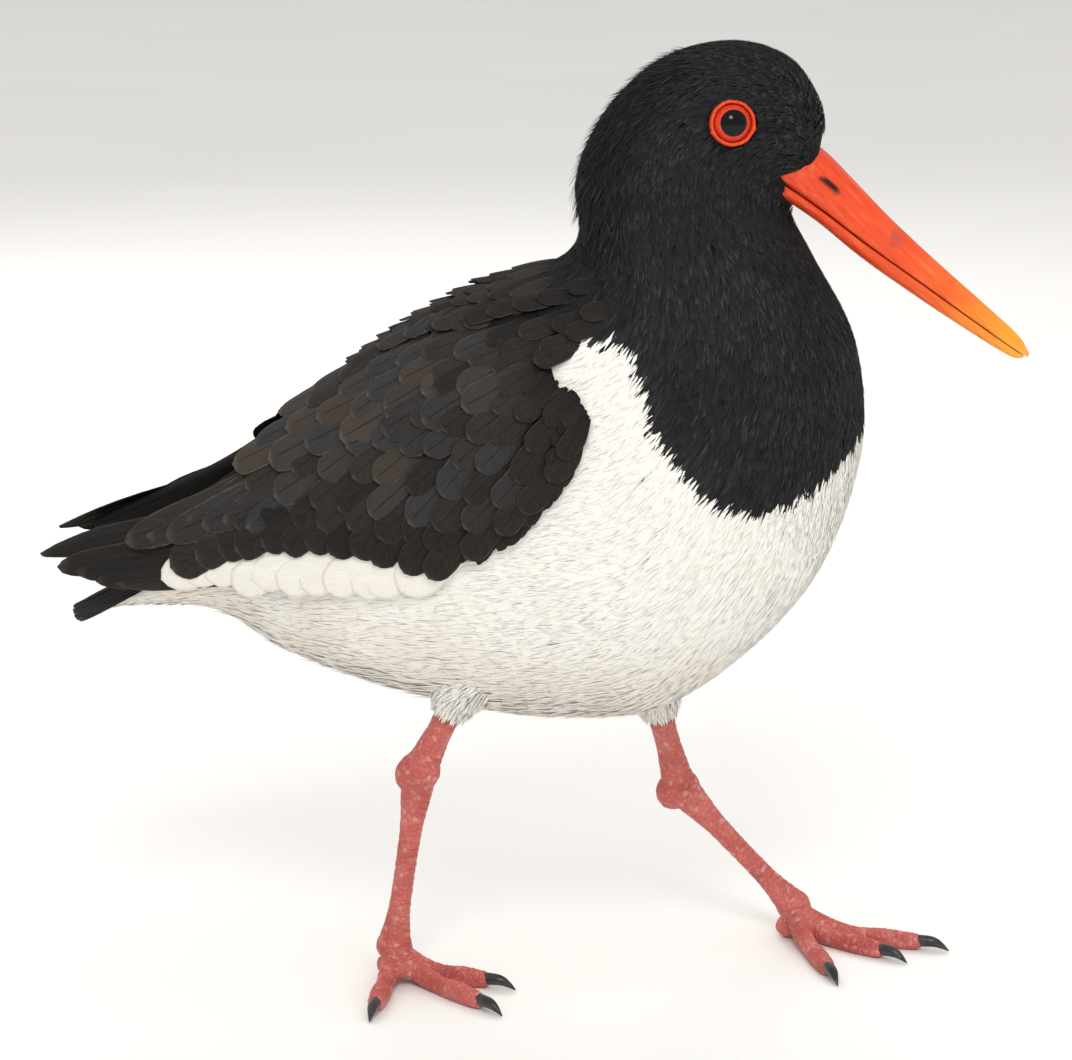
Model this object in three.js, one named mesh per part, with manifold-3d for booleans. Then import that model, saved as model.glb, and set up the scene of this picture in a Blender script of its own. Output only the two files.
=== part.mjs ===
// A life-size Eurasian oystercatcher in mid-stride, as a still museum model.
// Millimetres, +Z up, the bill towards +X, the right side towards -Y, the soles on z = 0.
import * as THREE from "three";
import { mergeVertices } from "three/addons/utils/BufferGeometryUtils.js";
import Module from "manifold-3d";

const wasm = await Module();
wasm.setup();

// Clearances and facets
const GAP = 0.3; // between nodes that touch
const BODY_RINGS = 40;
const BODY_SIDES = 26;
const LIMB_SIDES = 10;

// The body is a fan of oval sections in the mid-plane: each row is a line from the back (top) to the
// belly (bottom), with the half width there. The fan turns from the tail up through the neck to the bill.
// lower is how much narrower the section is below its middle.
const BODY = [
  { at: "covert tips", top: [-129, 118.5], bottom: [-131, 113.5], half: 6 },
  { at: "tail base", top: [-112, 132], bottom: [-114, 115], half: 15 },
  { at: "vent", top: [-92, 150], bottom: [-95, 113.5], half: 23 },
  { at: "rump", top: [-70, 170.5], bottom: [-75, 102], half: 33 },
  { at: "loin", top: [-48, 189], bottom: [-52, 93.5], half: 42 },
  { at: "back", top: [-25, 204.5], bottom: [-24, 86.5], half: 47.5 },
  { at: "saddle", top: [-4, 215.5], bottom: [7, 82.5], half: 49 },
  { at: "shoulders", top: [9, 222.5], bottom: [43, 88], half: 46.5 },
  { at: "crop", top: [12.5, 228.5], bottom: [80, 121], half: 41 },
  { at: "breast", top: [12.3, 235], bottom: [96, 161], half: 35 },
  { at: "neck", top: [11.5, 243.5], bottom: [94.5, 196], half: 28 },
  { at: "throat", top: [14.5, 254.5], bottom: [81.5, 222], half: 23.5 },
  { at: "nape", top: [22.8, 268], bottom: [75.5, 232.5], half: 21.5, lower: 0.05 },
  { at: "hind crown", top: [37.5, 280.5], bottom: [75, 235], half: 20.5, lower: 0.12 },
  { at: "crown", top: [57, 285.2], bottom: [76, 236.6], half: 16.8, lower: 0.33 },
  { at: "forecrown", top: [73.5, 280.5], bottom: [77.5, 238], half: 12.6, lower: 0.2 },
  { at: "forehead", top: [82.5, 268.5], bottom: [79, 239.8], half: 9.6, lower: 0.05 },
  { at: "bill root", top: [84.6, 257.5], bottom: [80.5, 241.5], half: 6.8 },
];
const rowOf = (name) => BODY.findIndex((row) => row.at === name);
const TAIL_CUT = 1.35; // fan places where the nodes part
const NECK_CUT = rowOf("crop") + 0.35;
const HEAD_CUT = rowOf("throat") + 0.35;

// The folded wings lie on a hull: the body's own rows, with rows of their own from the loin back.
const HULL_REAR = [
  { top: [-150, 128], bottom: [-148, 121], half: 13 },
  { top: [-124, 142], bottom: [-121, 114], half: 20 },
  { top: [-95, 156], bottom: [-93, 111], half: 28 },
  { top: [-70, 173], bottom: [-74, 101], half: 36 },
];
const HULL_FRONT_FROM = rowOf("loin");
const HULL_FRONT_TO = rowOf("neck");
const WING_HEIGHT = 3.2; // the wing's thickness over the hull
const WING_DEPTH = 4; // how far it reaches under the hull where no body is
const CORE_GRID = [12, 6];
const TOP_EDGE_ANGLE = 0.24; // radians from the back's ridge to the wing's upper edge
// The wing's core in side view, from the shoulder to the wing tip: its upper and its lower edge.
const CORE_UPPER = [
  [2, 216],
  [-12, 211],
  [-38, 197],
  [-66, 175],
  [-98, 152],
  [-136, 133],
];
const CORE_LOWER = [
  [15, 186],
  [4, 157],
  [-28, 145],
  [-64, 148],
  [-98, 137],
  [-137, 126],
];
const FAR_WING_LIFT = 4; // the far wing's tip is held a little higher

// Tiers of feathers in side view. Each runs from its front to its rear feather: the tip's place, the
// length, the width, the slope (degrees below the tail's direction) and the height of the tip over the hull.
const TIERS = [
  {
    name: "primaries",
    count: 5,
    tips: [[-118, 126.5], [-146, 128]],
    length: [66, 88],
    width: [9, 9.5],
    slope: [8, 16],
    lift: [1.8, 3.4],
    sunk: 0.8,
  },
  {
    name: "secondaries",
    count: 6,
    tips: [[-42, 133.5], [-106, 131]],
    length: [40, 50],
    width: [15, 12],
    slope: [48, 32],
    lift: [2.8, 3],
    sunk: 0.9,
  },
  {
    name: "greater coverts",
    count: 7,
    tips: [[-23, 137.5], [-100, 139]],
    arch: 5.5,
    length: [36, 36],
    width: [15, 12.5],
    slope: [56, 36],
    lift: [4.2, 4.4],
    sunk: 1.2,
  },
  {
    name: "median coverts",
    count: 5,
    tips: [[-1, 148.5], [-72, 156]],
    length: [27, 30],
    width: [16, 13.5],
    slope: [56, 40],
    lift: [5.2, 5.6],
    sunk: 2,
  },
  {
    name: "lesser coverts",
    count: 4,
    tips: [[12, 161], [-46, 168]],
    length: [23, 27],
    width: [16, 14.5],
    slope: [54, 40],
    lift: [5.6, 6.2],
    sunk: 2.2,
  },
  {
    name: "tertials",
    count: 4,
    tips: [[-86, 147.5], [-118, 136.5]],
    length: [58, 62],
    width: [13.5, 12],
    slope: [36, 31],
    lift: [5, 6],
    sunk: 1.8,
  },
  {
    name: "lower scapulars",
    count: 4,
    tips: [[-16, 180], [-78, 159]],
    length: [30, 38],
    width: [18.5, 16.5],
    slope: [38, 34],
    lift: [6.4, 6.8],
    sunk: 2.4,
  },
  {
    name: "upper scapulars",
    count: 3,
    tips: [[-24, 195], [-68, 172]],
    length: [32, 36],
    width: [19, 17],
    slope: [28, 36],
    lift: [6.4, 6.8],
    sunk: 2.6,
  },
];

// Tail
const TAIL_FEATHERS = 8;
const TAIL = {
  root: [-97, 136.5],
  tip: [-141, 113],
  fan: 9, // half the fan's spread in degrees
  width: 11.5,
  step: 0.95, // each feather lies this far under its inner neighbour
};

// Bill: rows from the face to the tip, upper edge to mouth line, and mouth line to lower edge.
const MOUTH_GAP = 0.36;
const UPPER_BILL = [
  { top: [78, 257.5], bottom: [64, 251.4], half: 13.4 },
  { top: [84.5, 253.2], bottom: [74, 243.4], half: 8.7 },
  { top: [92, 245.8], bottom: [83.5, 236.6], half: 5.9 },
  { top: [104, 233.6], bottom: [97.2, 226.2], half: 4.2 },
  { top: [118, 220.8], bottom: [113.4, 214.8], half: 3.2 },
  { top: [132, 208.6], bottom: [129.2, 203.6], half: 2.3 },
  { top: [141.5, 200], bottom: [140.4, 195.8], half: 1.5 },
  { top: [145, 194.6], bottom: [144.4, 193.4], half: 0.6 },
];
const LOWER_BILL = [
  { top: [63, 249.8], bottom: [69.4, 241.2], half: 12.8 },
  { top: [74, 243.4], bottom: [75, 237.6], half: 7.6 },
  { top: [83.5, 236.6], bottom: [83, 232], half: 5.3 },
  { top: [97.2, 226.2], bottom: [95.7, 221.8], half: 3.9 },
  { top: [113.4, 214.8], bottom: [111.6, 210.8], half: 3 },
  { top: [129.2, 203.6], bottom: [128, 200.2], half: 2.2 },
  { top: [140, 196.1], bottom: [139.2, 193.6], half: 1.4 },
  { top: [143.4, 193.9], bottom: [143, 193], half: 0.6 },
];
// Half a bill section as [across, up] shares of its half width and half height.
const BILL_PROFILE = [[0, 1], [0.5, 0.82], [0.82, 0.36], [0.98, -0.3], [0.94, -0.92], [0.4, -1]];
const NOSTRIL = { at: [85, 244.2], size: [7.6, 5, 1.5], slope: 41 };

// Eyes
const EYE = { at: [57.7, 263.3], ball: 6.4, seen: 5.1, lid: 6.7, lidThick: 1.7, out: 1.5 };

// Legs: hip, cuff (where the feathers end), ankle and heel (where the toes meet) as [x, y, z].
const LEGS = {
  right: {
    hip: [-8, -21, 120],
    cuff: [-23.2, -20, 90.3],
    ankle: [-34, -16, 68],
    heel: [-43, -9, 9.8],
    thigh: 14,
    toes: { inner: [-17, 40], middle: [-43, 49], outer: [-94, 41] },
  },
  left: {
    hip: [30, 21, 112],
    cuff: [36.3, 23, 78.5],
    ankle: [43.2, 27, 51],
    heel: [79.3, 34, 10.6],
    thigh: 15,
    toes: { inner: [-73, 46], middle: [-33, 42], outer: [-13, 50] },
  },
};
const TIBIA_R = [4.3, 3.8]; // fore-and-aft and sideways radii
const ANKLE_R = [6.4, 4.9];
const SHANK_R = [3.35, 2.9];
const HEEL_R = [5.6, 5];
const CUFF_R = 6.4;
const TOE_R = 3;
const SOLE_CUT = 0.4; // how much of each pad is cut flat
const CLAW = { length: 8.6, radius: 2, droop: 2.1 };

// Colours
const finish = (color, roughness) => new THREE.MeshStandardMaterial({ color, roughness, metalness: 0 });
const BLACK = finish(0x221f1e, 0.75);
const WHITE = finish(0xefebe0, 0.85);
const BILL = finish(0xe8481f, 0.4);
const LID = finish(0xd93a1c, 0.5);
const IRIS = finish(0x8c1408, 0.1);
const SHANK = finish(0xc25a56, 0.55);
const HORN = finish(0x2c2b2b, 0.35);

// Small sums
const mix = (a, b, t) => a + (b - a) * t;
const mixed = (a, b, t) => a.map((value, i) => mix(value, b[i], t));
const vector = (p) => new THREE.Vector3(...p);

// A smooth curve through evenly spaced numbers, at place t.
function smooth(values, t) {
  const last = values.length - 1;
  const i = Math.max(0, Math.min(last - 1, Math.floor(t)));
  const u = t - i;
  const b = values[i];
  const c = values[i + 1];
  const a = i > 0 ? values[i - 1] : 2 * b - c;
  const d = i + 2 <= last ? values[i + 2] : 2 * c - b;
  const bend = 2 * a - 5 * b + 4 * c - d;
  return 0.5 * (2 * b + (c - a) * u + bend * u * u + (3 * b - 3 * c + d - a) * u ** 3);
}

// Fans of oval sections
function section(rows, s) {
  const read = (pick) => smooth(rows.map(pick), s);
  return {
    top: [read((r) => r.top[0]), read((r) => r.top[1])],
    bottom: [read((r) => r.bottom[0]), read((r) => r.bottom[1])],
    half: Math.max(0.4, read((r) => r.half)),
    lower: read((r) => r.lower ?? 0),
  };
}

// The fan's skin at place s and angle a from the ridge; side is -1 on the right and 1 on the left.
function skin(rows, s, a, side) {
  const { top, bottom, half, lower } = section(rows, s);
  const [x, z] = mixed(bottom, top, 0.5 + 0.5 * Math.cos(a));
  return new THREE.Vector3(x, side * half * Math.sin(a) * (1 + lower * Math.cos(a)), z);
}

function skinFrame(rows, s, a, side) {
  const step = 0.01;
  const along = skin(rows, s + step, a, side).sub(skin(rows, s - step, a, side)).divideScalar(2 * step);
  const around = skin(rows, s, a + step, side).sub(skin(rows, s, a - step, side)).divideScalar(2 * step);
  const normal = new THREE.Vector3().crossVectors(along, around).normalize();
  if (side < 0) normal.negate();
  return { along, around, normal };
}

const lifted = (rows, s, a, side, height) =>
  skin(rows, s, a, side).addScaledVector(skinFrame(rows, s, a, side).normal, height);

// The place on the fan that a side view shows at (x, z).
function placeOn(rows, x, z) {
  const ahead = (s) => {
    const { top, bottom } = section(rows, s);
    return (bottom[0] - top[0]) * (z - top[1]) - (bottom[1] - top[1]) * (x - top[0]);
  };
  const fine = 8;
  let low = 0;
  for (let i = 1; i <= (rows.length - 1) * fine; i++) {
    if (ahead(i / fine) < 0) break;
    low = i / fine;
  }
  let high = low + 1 / fine;
  for (let i = 0; i < 24; i++) {
    const half = (low + high) / 2;
    if (ahead(half) < 0) high = half;
    else low = half;
  }
  const { top, bottom } = section(rows, low);
  const down = (z - top[1]) / (bottom[1] - top[1]);
  const cosine = Math.max(-1, Math.min(Math.cos(TOP_EDGE_ANGLE), 1 - 2 * down));
  return [low, Math.acos(cosine)];
}

// Solids
function geometryOf(points, faces) {
  const flat = points.flatMap((p) => [p.x, p.y, p.z]);
  const made = new THREE.BufferGeometry();
  made.setAttribute("position", new THREE.Float32BufferAttribute(flat, 3));
  made.setIndex(faces.flat());
  return made;
}

function solidOf(geometry) {
  const bare = geometry.clone();
  bare.deleteAttribute("normal");
  bare.deleteAttribute("uv");
  const merged = mergeVertices(bare, 1e-4);
  const vertProperties = merged.attributes.position.array;
  const triVerts = new Uint32Array(merged.index.array);
  const make = () => new wasm.Manifold(new wasm.Mesh({ numProp: 3, vertProperties, triVerts }));
  const made = make();
  if (made.volume() > 0) return made;
  for (let i = 0; i < triVerts.length; i += 3)
    [triVerts[i + 1], triVerts[i + 2]] = [triVerts[i + 2], triVerts[i + 1]];
  return make();
}

// A closed skin over rings of equal length, with a fan of faces at each end.
function loft(rings) {
  const sides = rings[0].length;
  const points = rings.flat();
  const faces = [];
  for (let i = 0; i + 1 < rings.length; i++)
    for (let j = 0; j < sides; j++) {
      const a = i * sides + j;
      const b = i * sides + ((j + 1) % sides);
      faces.push([a, b, a + sides], [b, b + sides, a + sides]);
    }
  for (const end of [0, rings.length - 1]) {
    const middle = rings[end].reduce((sum, p) => sum.add(p), new THREE.Vector3()).divideScalar(sides);
    points.push(middle);
    const centre = points.length - 1;
    for (let j = 0; j < sides; j++) {
      const a = end * sides + j;
      const b = end * sides + ((j + 1) % sides);
      faces.push(end ? [a, b, centre] : [b, a, centre]);
    }
  }
  return solidOf(geometryOf(points, faces));
}

const joined = (solids) => wasm.Manifold.union(solids);

function largest(solid) {
  const bodies = solid.decompose();
  return bodies.reduce((best, b) => (b.volume() > best.volume() ? b : best));
}

function ellipsoid(at, radii, slope = 0) {
  const ball = new THREE.SphereGeometry(1, LIMB_SIDES, LIMB_SIDES / 2);
  ball.scale(...radii);
  ball.rotateY(THREE.MathUtils.degToRad(slope));
  ball.translate(...at);
  return solidOf(ball);
}

// A tube of oval rings along points [x, y, z, fore-and-aft radius, sideways radius].
function limb(stops, rings, sides = LIMB_SIDES) {
  const at = (t) => [0, 1, 2, 3, 4].map((k) => smooth(stops.map((p) => p[k]), t));
  const last = stops.length - 1;
  const made = [];
  for (let i = 0; i <= rings; i++) {
    const t = (last * i) / rings;
    const [x, y, z, fore, wide] = at(t);
    const before = at(Math.max(0, t - 0.02));
    const after = at(Math.min(last, t + 0.02));
    const run = vector(after.slice(0, 3)).sub(vector(before.slice(0, 3))).normalize();
    const flat = Math.hypot(run.x, run.y);
    const level = flat > 0.75 ? new THREE.Vector3(-run.y, run.x, 0).normalize() : new THREE.Vector3(0, 1, 0);
    const front = new THREE.Vector3().crossVectors(level, run).normalize();
    const across = new THREE.Vector3().crossVectors(run, front).normalize();
    const ring = [];
    for (let j = 0; j < sides; j++) {
      const a = (2 * Math.PI * j) / sides;
      ring.push(
        new THREE.Vector3(x, y, z)
          .addScaledVector(front, fore * Math.cos(a))
          .addScaledVector(across, wide * Math.sin(a)),
      );
    }
    made.push(ring);
  }
  return loft(made);
}

// The body whole, larger all round by grow.
function bodySolid(grow = 0) {
  const rings = [];
  for (let i = 0; i <= BODY_RINGS; i++) {
    const s = ((BODY.length - 1) * i) / BODY_RINGS;
    const ring = [];
    for (let j = 0; j < BODY_SIDES; j++) {
      const a = (2 * Math.PI * j) / BODY_SIDES;
      const side = a <= Math.PI ? -1 : 1;
      const around = a <= Math.PI ? a : 2 * Math.PI - a;
      ring.push(lifted(BODY, s, around, side, grow));
    }
    rings.push(ring);
  }
  return loft(rings);
}

// Cuts across the fan at place s: the tail side of it, or the bill side.
function cutAt(solid, s, keep) {
  const { top, bottom } = section(BODY, s);
  const line = new THREE.Vector2(top[0] - bottom[0], top[1] - bottom[1]).normalize();
  const ahead = [line.y, 0, -line.x];
  const offset = ahead[0] * top[0] + ahead[2] * top[1];
  return keep === "front"
    ? solid.trimByPlane(ahead, offset + GAP / 2)
    : solid.trimByPlane(ahead.map((v) => -v), -offset + GAP / 2);
}

// Feathers: a vane is a thin leaf whose rows are set by place(t, across, height).
const LEAF = [[0, 0.62], [0.52, 1], [0.88, 0.74]];
const VANE_THICK = [0.95, 0.6]; // at the root and at the tip

function vane(place, width, lift, sunk, roll) {
  const points = [];
  const layer = (under) => {
    for (const [t, share] of [...LEAF, [1, 0]]) {
      const thick = mix(VANE_THICK[0], VANE_THICK[1], t);
      const ridge = mix(sunk, lift, t ** 0.8);
      for (const side of share ? [-1, 0, 1] : [0]) {
        const edge = ridge - 0.25 * Math.abs(side) + roll * side * Math.min(1, share + 0.2);
        points.push(place(t, 0.5 * width * share * side, under ? edge - thick : edge));
      }
    }
  };
  layer(false);
  const under = points.length;
  layer(true);
  const faces = [];
  const quad = (a, b, c, d) => faces.push([a, b, c], [a, c, d]);
  const rows = LEAF.length;
  const tip = rows * 3;
  for (let i = 0; i + 1 < rows; i++)
    for (const k of [0, 1]) {
      const a = i * 3 + k;
      quad(a, a + 1, a + 4, a + 3);
      quad(under + a + 3, under + a + 4, under + a + 1, under + a);
      faces.splice(-2, 2, [under + a, under + a + 4, under + a + 1], [under + a, under + a + 3, under + a + 4]);
    }
  const end = tip - 3;
  for (const k of [0, 1]) {
    faces.push([end + k, end + k + 1, tip], [under + end + k + 1, under + end + k, under + tip]);
    quad(k, under + k, under + k + 1, k + 1);
  }
  for (const k of [0, 2]) {
    const turn = (a, b, c, d) => (k ? quad(a, d, c, b) : quad(a, b, c, d));
    for (let i = 0; i + 1 < rows; i++) {
      const a = i * 3 + k;
      turn(a, a + 3, under + a + 3, under + a);
    }
    turn(end + k, tip, under + tip, under + end + k);
  }
  return solidOf(geometryOf(points, faces));
}

// A feather's place on the hull between two side-view points.
function onHull(hull, side, root, tip) {
  const from = placeOn(hull, ...root);
  const to = placeOn(hull, ...tip);
  return (t, across, height) => {
    const [s, a] = mixed(from, to, t);
    const { along, around, normal } = skinFrame(hull, s, a, side);
    const run = along.clone().multiplyScalar(to[0] - from[0]).addScaledVector(around, to[1] - from[1]);
    const wide = new THREE.Vector3().crossVectors(normal, run).normalize().multiplyScalar(across * side);
    const aa = along.dot(along);
    const bb = around.dot(around);
    const ab = along.dot(around);
    const wa = wide.dot(along);
    const wb = wide.dot(around);
    const det = aa * bb - ab * ab;
    return lifted(hull, s + (wa * bb - wb * ab) / det, a + (wb * aa - wa * ab) / det, side, height);
  };
}

function wingHull(raise) {
  const rear = HULL_REAR.map((row, i) => {
    const up = raise * (1 - i / HULL_REAR.length);
    return { top: [row.top[0], row.top[1] + up], bottom: [row.bottom[0], row.bottom[1] + up], half: row.half };
  });
  return [...rear, ...BODY.slice(HULL_FRONT_FROM, HULL_FRONT_TO + 1)];
}

// The wing's arm and folded hand: a curved pad on the hull, thin at its rim.
function wingCore(hull, side, raise) {
  const [rows, columns] = CORE_GRID;
  const sheet = (under) => {
    const points = [];
    for (let i = 0; i <= rows; i++) {
      const t = i / rows;
      const u = t * (CORE_UPPER.length - 1);
      const edge = (line) => [smooth(line.map((p) => p[0]), u), smooth(line.map((p) => p[1]), u) + raise * t * t];
      const from = placeOn(hull, ...edge(CORE_UPPER));
      const to = placeOn(hull, ...edge(CORE_LOWER));
      for (let j = 0; j <= columns; j++) {
        const v = j / columns;
        const rim = Math.min(1, 5 * t + 0.25, 6 * v + 0.25, 6 * (1 - v) + 0.25, 6 * (1 - t) + 0.4);
        const [s, a] = mixed(from, to, v);
        points.push(lifted(hull, s, a, side, under ? -WING_DEPTH * (1 - 0.5 * t) : WING_HEIGHT * rim));
      }
    }
    return points;
  };
  const points = [...sheet(false), ...sheet(true)];
  const under = points.length / 2;
  const width = columns + 1;
  const faces = [];
  const quad = (a, b, c, d) => faces.push([a, b, c], [a, c, d]);
  for (let i = 0; i < rows; i++)
    for (let j = 0; j < columns; j++) {
      const a = i * width + j;
      faces.push([a, a + 1, a + width + 1], [a, a + width + 1, a + width]);
      faces.push([under + a, under + a + width + 1, under + a + 1], [under + a, under + a + width, under + a + width + 1]);
    }
  for (let i = 0; i < rows; i++) {
    const a = i * width;
    const b = a + columns;
    quad(a, a + width, under + a + width, under + a);
    quad(b + width, b, under + b, under + b + width);
  }
  for (let j = 0; j < columns; j++) {
    const b = rows * width + j;
    quad(j + 1, j, under + j, under + j + 1);
    quad(b, b + 1, under + b + 1, under + b);
  }
  return solidOf(geometryOf(points, faces));
}

function wing(side, raise, grownBody) {
  const hull = wingHull(raise);
  const pieces = [wingCore(hull, side, raise)];
  for (const tier of TIERS)
    for (let i = 0; i < tier.count; i++) {
      const u = i / (tier.count - 1);
      const [x, z] = mixed(...tier.tips, u);
      const back = Math.max(0, -(x + 60) / 90);
      const tip = [x, z + (tier.arch ?? 0) * Math.sin(Math.PI * u) + raise * back * back];
      const slope = THREE.MathUtils.degToRad(mix(...tier.slope, u));
      const length = mix(...tier.length, u);
      const root = [tip[0] + length * Math.cos(slope), tip[1] + length * Math.sin(slope)];
      const place = onHull(hull, side, root, tip);
      pieces.push(vane(place, mix(...tier.width, u), mix(...tier.lift, u), tier.sunk, 0.6));
    }
  return largest(joined(pieces).subtract(grownBody));
}

function tail(body) {
  const [rx, rz] = TAIL.root;
  const [tx, tz] = TAIL.tip;
  const length = Math.hypot(tx - rx, tz - rz);
  const run = new THREE.Vector3(tx - rx, 0, tz - rz).divideScalar(length);
  const up = new THREE.Vector3(run.z, 0, -run.x).normalize();
  const pieces = [body];
  for (let i = 0; i < TAIL_FEATHERS; i++) {
    const turn = (2 * i) / (TAIL_FEATHERS - 1) - 1;
    const yaw = THREE.MathUtils.degToRad(TAIL.fan * turn);
    const place = (t, across, height) => {
      const reach = length * t * (1 - 0.06 * turn * turn);
      const flat = new THREE.Vector3(rx, 0, rz)
        .addScaledVector(run, reach * Math.cos(yaw) - across * Math.sin(yaw))
        .addScaledVector(up, height - Math.abs(turn) * TAIL.step * 3.2);
      flat.y += 7 * turn + reach * Math.sin(yaw) + across * Math.cos(yaw);
      return flat;
    };
    pieces.push(vane(place, TAIL.width, 0.4, 0.4, -0.4 * Math.sign(turn)));
  }
  return largest(cutAt(joined(pieces), TAIL_CUT, "rear"));
}

// Bill
function mandible(rows, up, grow = 0, slack = 0) {
  const steps = (rows.length - 1) * (grow ? 1 : 2);
  const rings = [];
  for (let i = 0; i <= steps; i++) {
    const { top, bottom, half } = section(rows, ((rows.length - 1) * i) / steps);
    const middle = mixed(bottom, top, 0.5);
    const reach = [(top[0] - bottom[0]) / 2, (top[1] - bottom[1]) / 2];
    const size = Math.hypot(...reach);
    const tall = (size - slack + grow) / size;
    const right = BILL_PROFILE.map(([w, h]) => [-w * (half + grow), up * h * tall]);
    const left = BILL_PROFILE.slice(1).reverse().map(([w, h]) => [w * (half + grow), up * h * tall]);
    rings.push([...right, ...left].map(([y, h]) => new THREE.Vector3(middle[0] + h * reach[0], y, middle[1] + h * reach[1])));
  }
  return loft(rings);
}

function upperBill() {
  let made = mandible(UPPER_BILL, 1, 0, MOUTH_GAP / 2);
  for (const side of [-1, 1]) {
    const [x, z] = NOSTRIL.at;
    const [long, deep, tall] = NOSTRIL.size;
    made = made.subtract(ellipsoid([x, side * 7.6, z], [long / 2, deep / 2, tall / 2], NOSTRIL.slope));
  }
  return largest(made);
}

const lowerBill = () => largest(mandible(LOWER_BILL, -1, 0, MOUTH_GAP / 2));

// Eyes: the ball's cap shows through a fleshy ring.
function eyeParts(side) {
  const [x, z] = EYE.at;
  const [s, a] = placeOn(BODY, x, z);
  const { normal } = skinFrame(BODY, s, a, side);
  const centre = skin(BODY, s, a, side).addScaledVector(normal, EYE.out - EYE.ball);
  const turn = new THREE.Quaternion().setFromUnitVectors(new THREE.Vector3(0, 1, 0), normal);
  const put = (geometry) => solidOf(geometry.applyQuaternion(turn).translate(...centre.toArray()));
  const wall = (height) => Math.sqrt((EYE.ball + GAP) ** 2 - height ** 2);
  const rim = Math.sqrt(EYE.ball ** 2 - EYE.seen ** 2);
  const back = rim - EYE.lidThick;
  const turned = (profile) => put(new THREE.LatheGeometry(profile.map((p) => new THREE.Vector2(...p)), 14));
  const lid = turned([
    [wall(back), back],
    [EYE.lid, back - 0.8],
    [EYE.lid, rim + 0.1],
    [EYE.lid - 0.8, rim + 0.8],
    [wall(rim + 0.6), rim + 0.6],
    [wall(back), back],
  ]);
  const hollow = EYE.ball + 2 * GAP;
  const bowl = [-90, -62, -36, -12].map((degrees) => {
    const turn = THREE.MathUtils.degToRad(degrees);
    return [hollow * Math.cos(turn), hollow * Math.sin(turn)];
  });
  const socket = turned([
    ...bowl,
    [EYE.lid + GAP, back - 0.8 - GAP],
    [EYE.lid + GAP, rim + 9],
    [0, rim + 9],
  ]);
  return { ball: put(new THREE.SphereGeometry(EYE.ball, 14, 8)), lid, socket };
}

// Legs
const heading = (degrees, x = 1, z = 0) => {
  const turn = THREE.MathUtils.degToRad(degrees);
  return new THREE.Vector3(x * Math.cos(turn), x * Math.sin(turn), z);
};

// The bare lower leg from the ankle's pivot to the pad, larger all round by grow.
function shank(leg, rings, grow = 0) {
  const { ankle, heel } = leg;
  const stop = (t, fore, wide) => [...mixed(ankle, heel, t), SHANK_R[0] * fore + grow, SHANK_R[1] * wide + grow];
  const back = [ankle[0] - 2.4, ankle[1], ankle[2] - 1.5];
  const stops = [
    stop(0, 1.7, 1.6),
    stop(0.16, 1.35, 1.15),
    stop(0.36, 1, 1),
    stop(0.76, 0.98, 1.02),
    stop(0.93, 1.35, 1.3),
    stop(1, 1.5, 1.5),
  ];
  const pad = [heel[0] - 1, heel[1], 3.4];
  return joined([
    limb(stops, rings, 8),
    ellipsoid(back, [ANKLE_R[0] * 0.8, ANKLE_R[1] * 0.8, ANKLE_R[0] * 0.9]),
    ellipsoid(heel, [HEEL_R[0] + grow, HEEL_R[1] + grow, HEEL_R[1] + grow]),
    ellipsoid(pad, [HEEL_R[0] * 0.8 + grow, HEEL_R[1] * 0.8 + grow, 3.8 + grow]),
  ]);
}

// A toe keeps to its own side of the planes half-way to its neighbours.
function toeParts(leg, name, foot) {
  const [turn, length] = leg.toes[name];
  const start = vector(leg.heel);
  const sole = TOE_R - SOLE_CUT;
  const at = (reach, z, r) => {
    const p = heading(turn, reach).add(start);
    return [p.x, p.y, z, r, r * 0.98];
  };
  const bare = length - CLAW.length;
  const stops = [
    at(0, start.z - 1, TOE_R),
    at(bare * 0.28, sole + 1.6, TOE_R * 1.06),
    at(bare * 0.5, sole, TOE_R * 0.98),
    at(bare * 0.72, sole, TOE_R * 1.04),
    at(bare * 0.93, sole - 0.1, TOE_R * 0.9),
    at(bare, sole - 0.1, TOE_R * 0.6),
  ];
  const nail = (grow, last) =>
    [
      at(bare - 2.6 - grow, sole + 0.2, CLAW.radius * 1.02 + grow),
      at(bare + CLAW.length * 0.36, sole + 0.4, CLAW.radius * 0.86 + grow),
      at(bare + CLAW.length * 0.72, sole - 0.6, CLAW.radius * 0.52 + grow),
      at(bare + CLAW.length, sole - CLAW.droop, 0.22),
    ].slice(0, last);
  let toe = limb(stops, 8, 8).trimByPlane([0, 0, 1], 0).subtract(joined([foot, limb(nail(GAP, 2), 2, 8)]));
  for (const [other] of Object.values(leg.toes)) {
    if (other === turn) continue;
    const away = heading((turn + other) / 2 + (turn > other ? 90 : -90));
    toe = toe.trimByPlane(away.toArray(), away.dot(start) + GAP / 2);
  }
  return { toe: largest(toe), claw: limb(nail(0, 4), 5, 6) };
}

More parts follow.
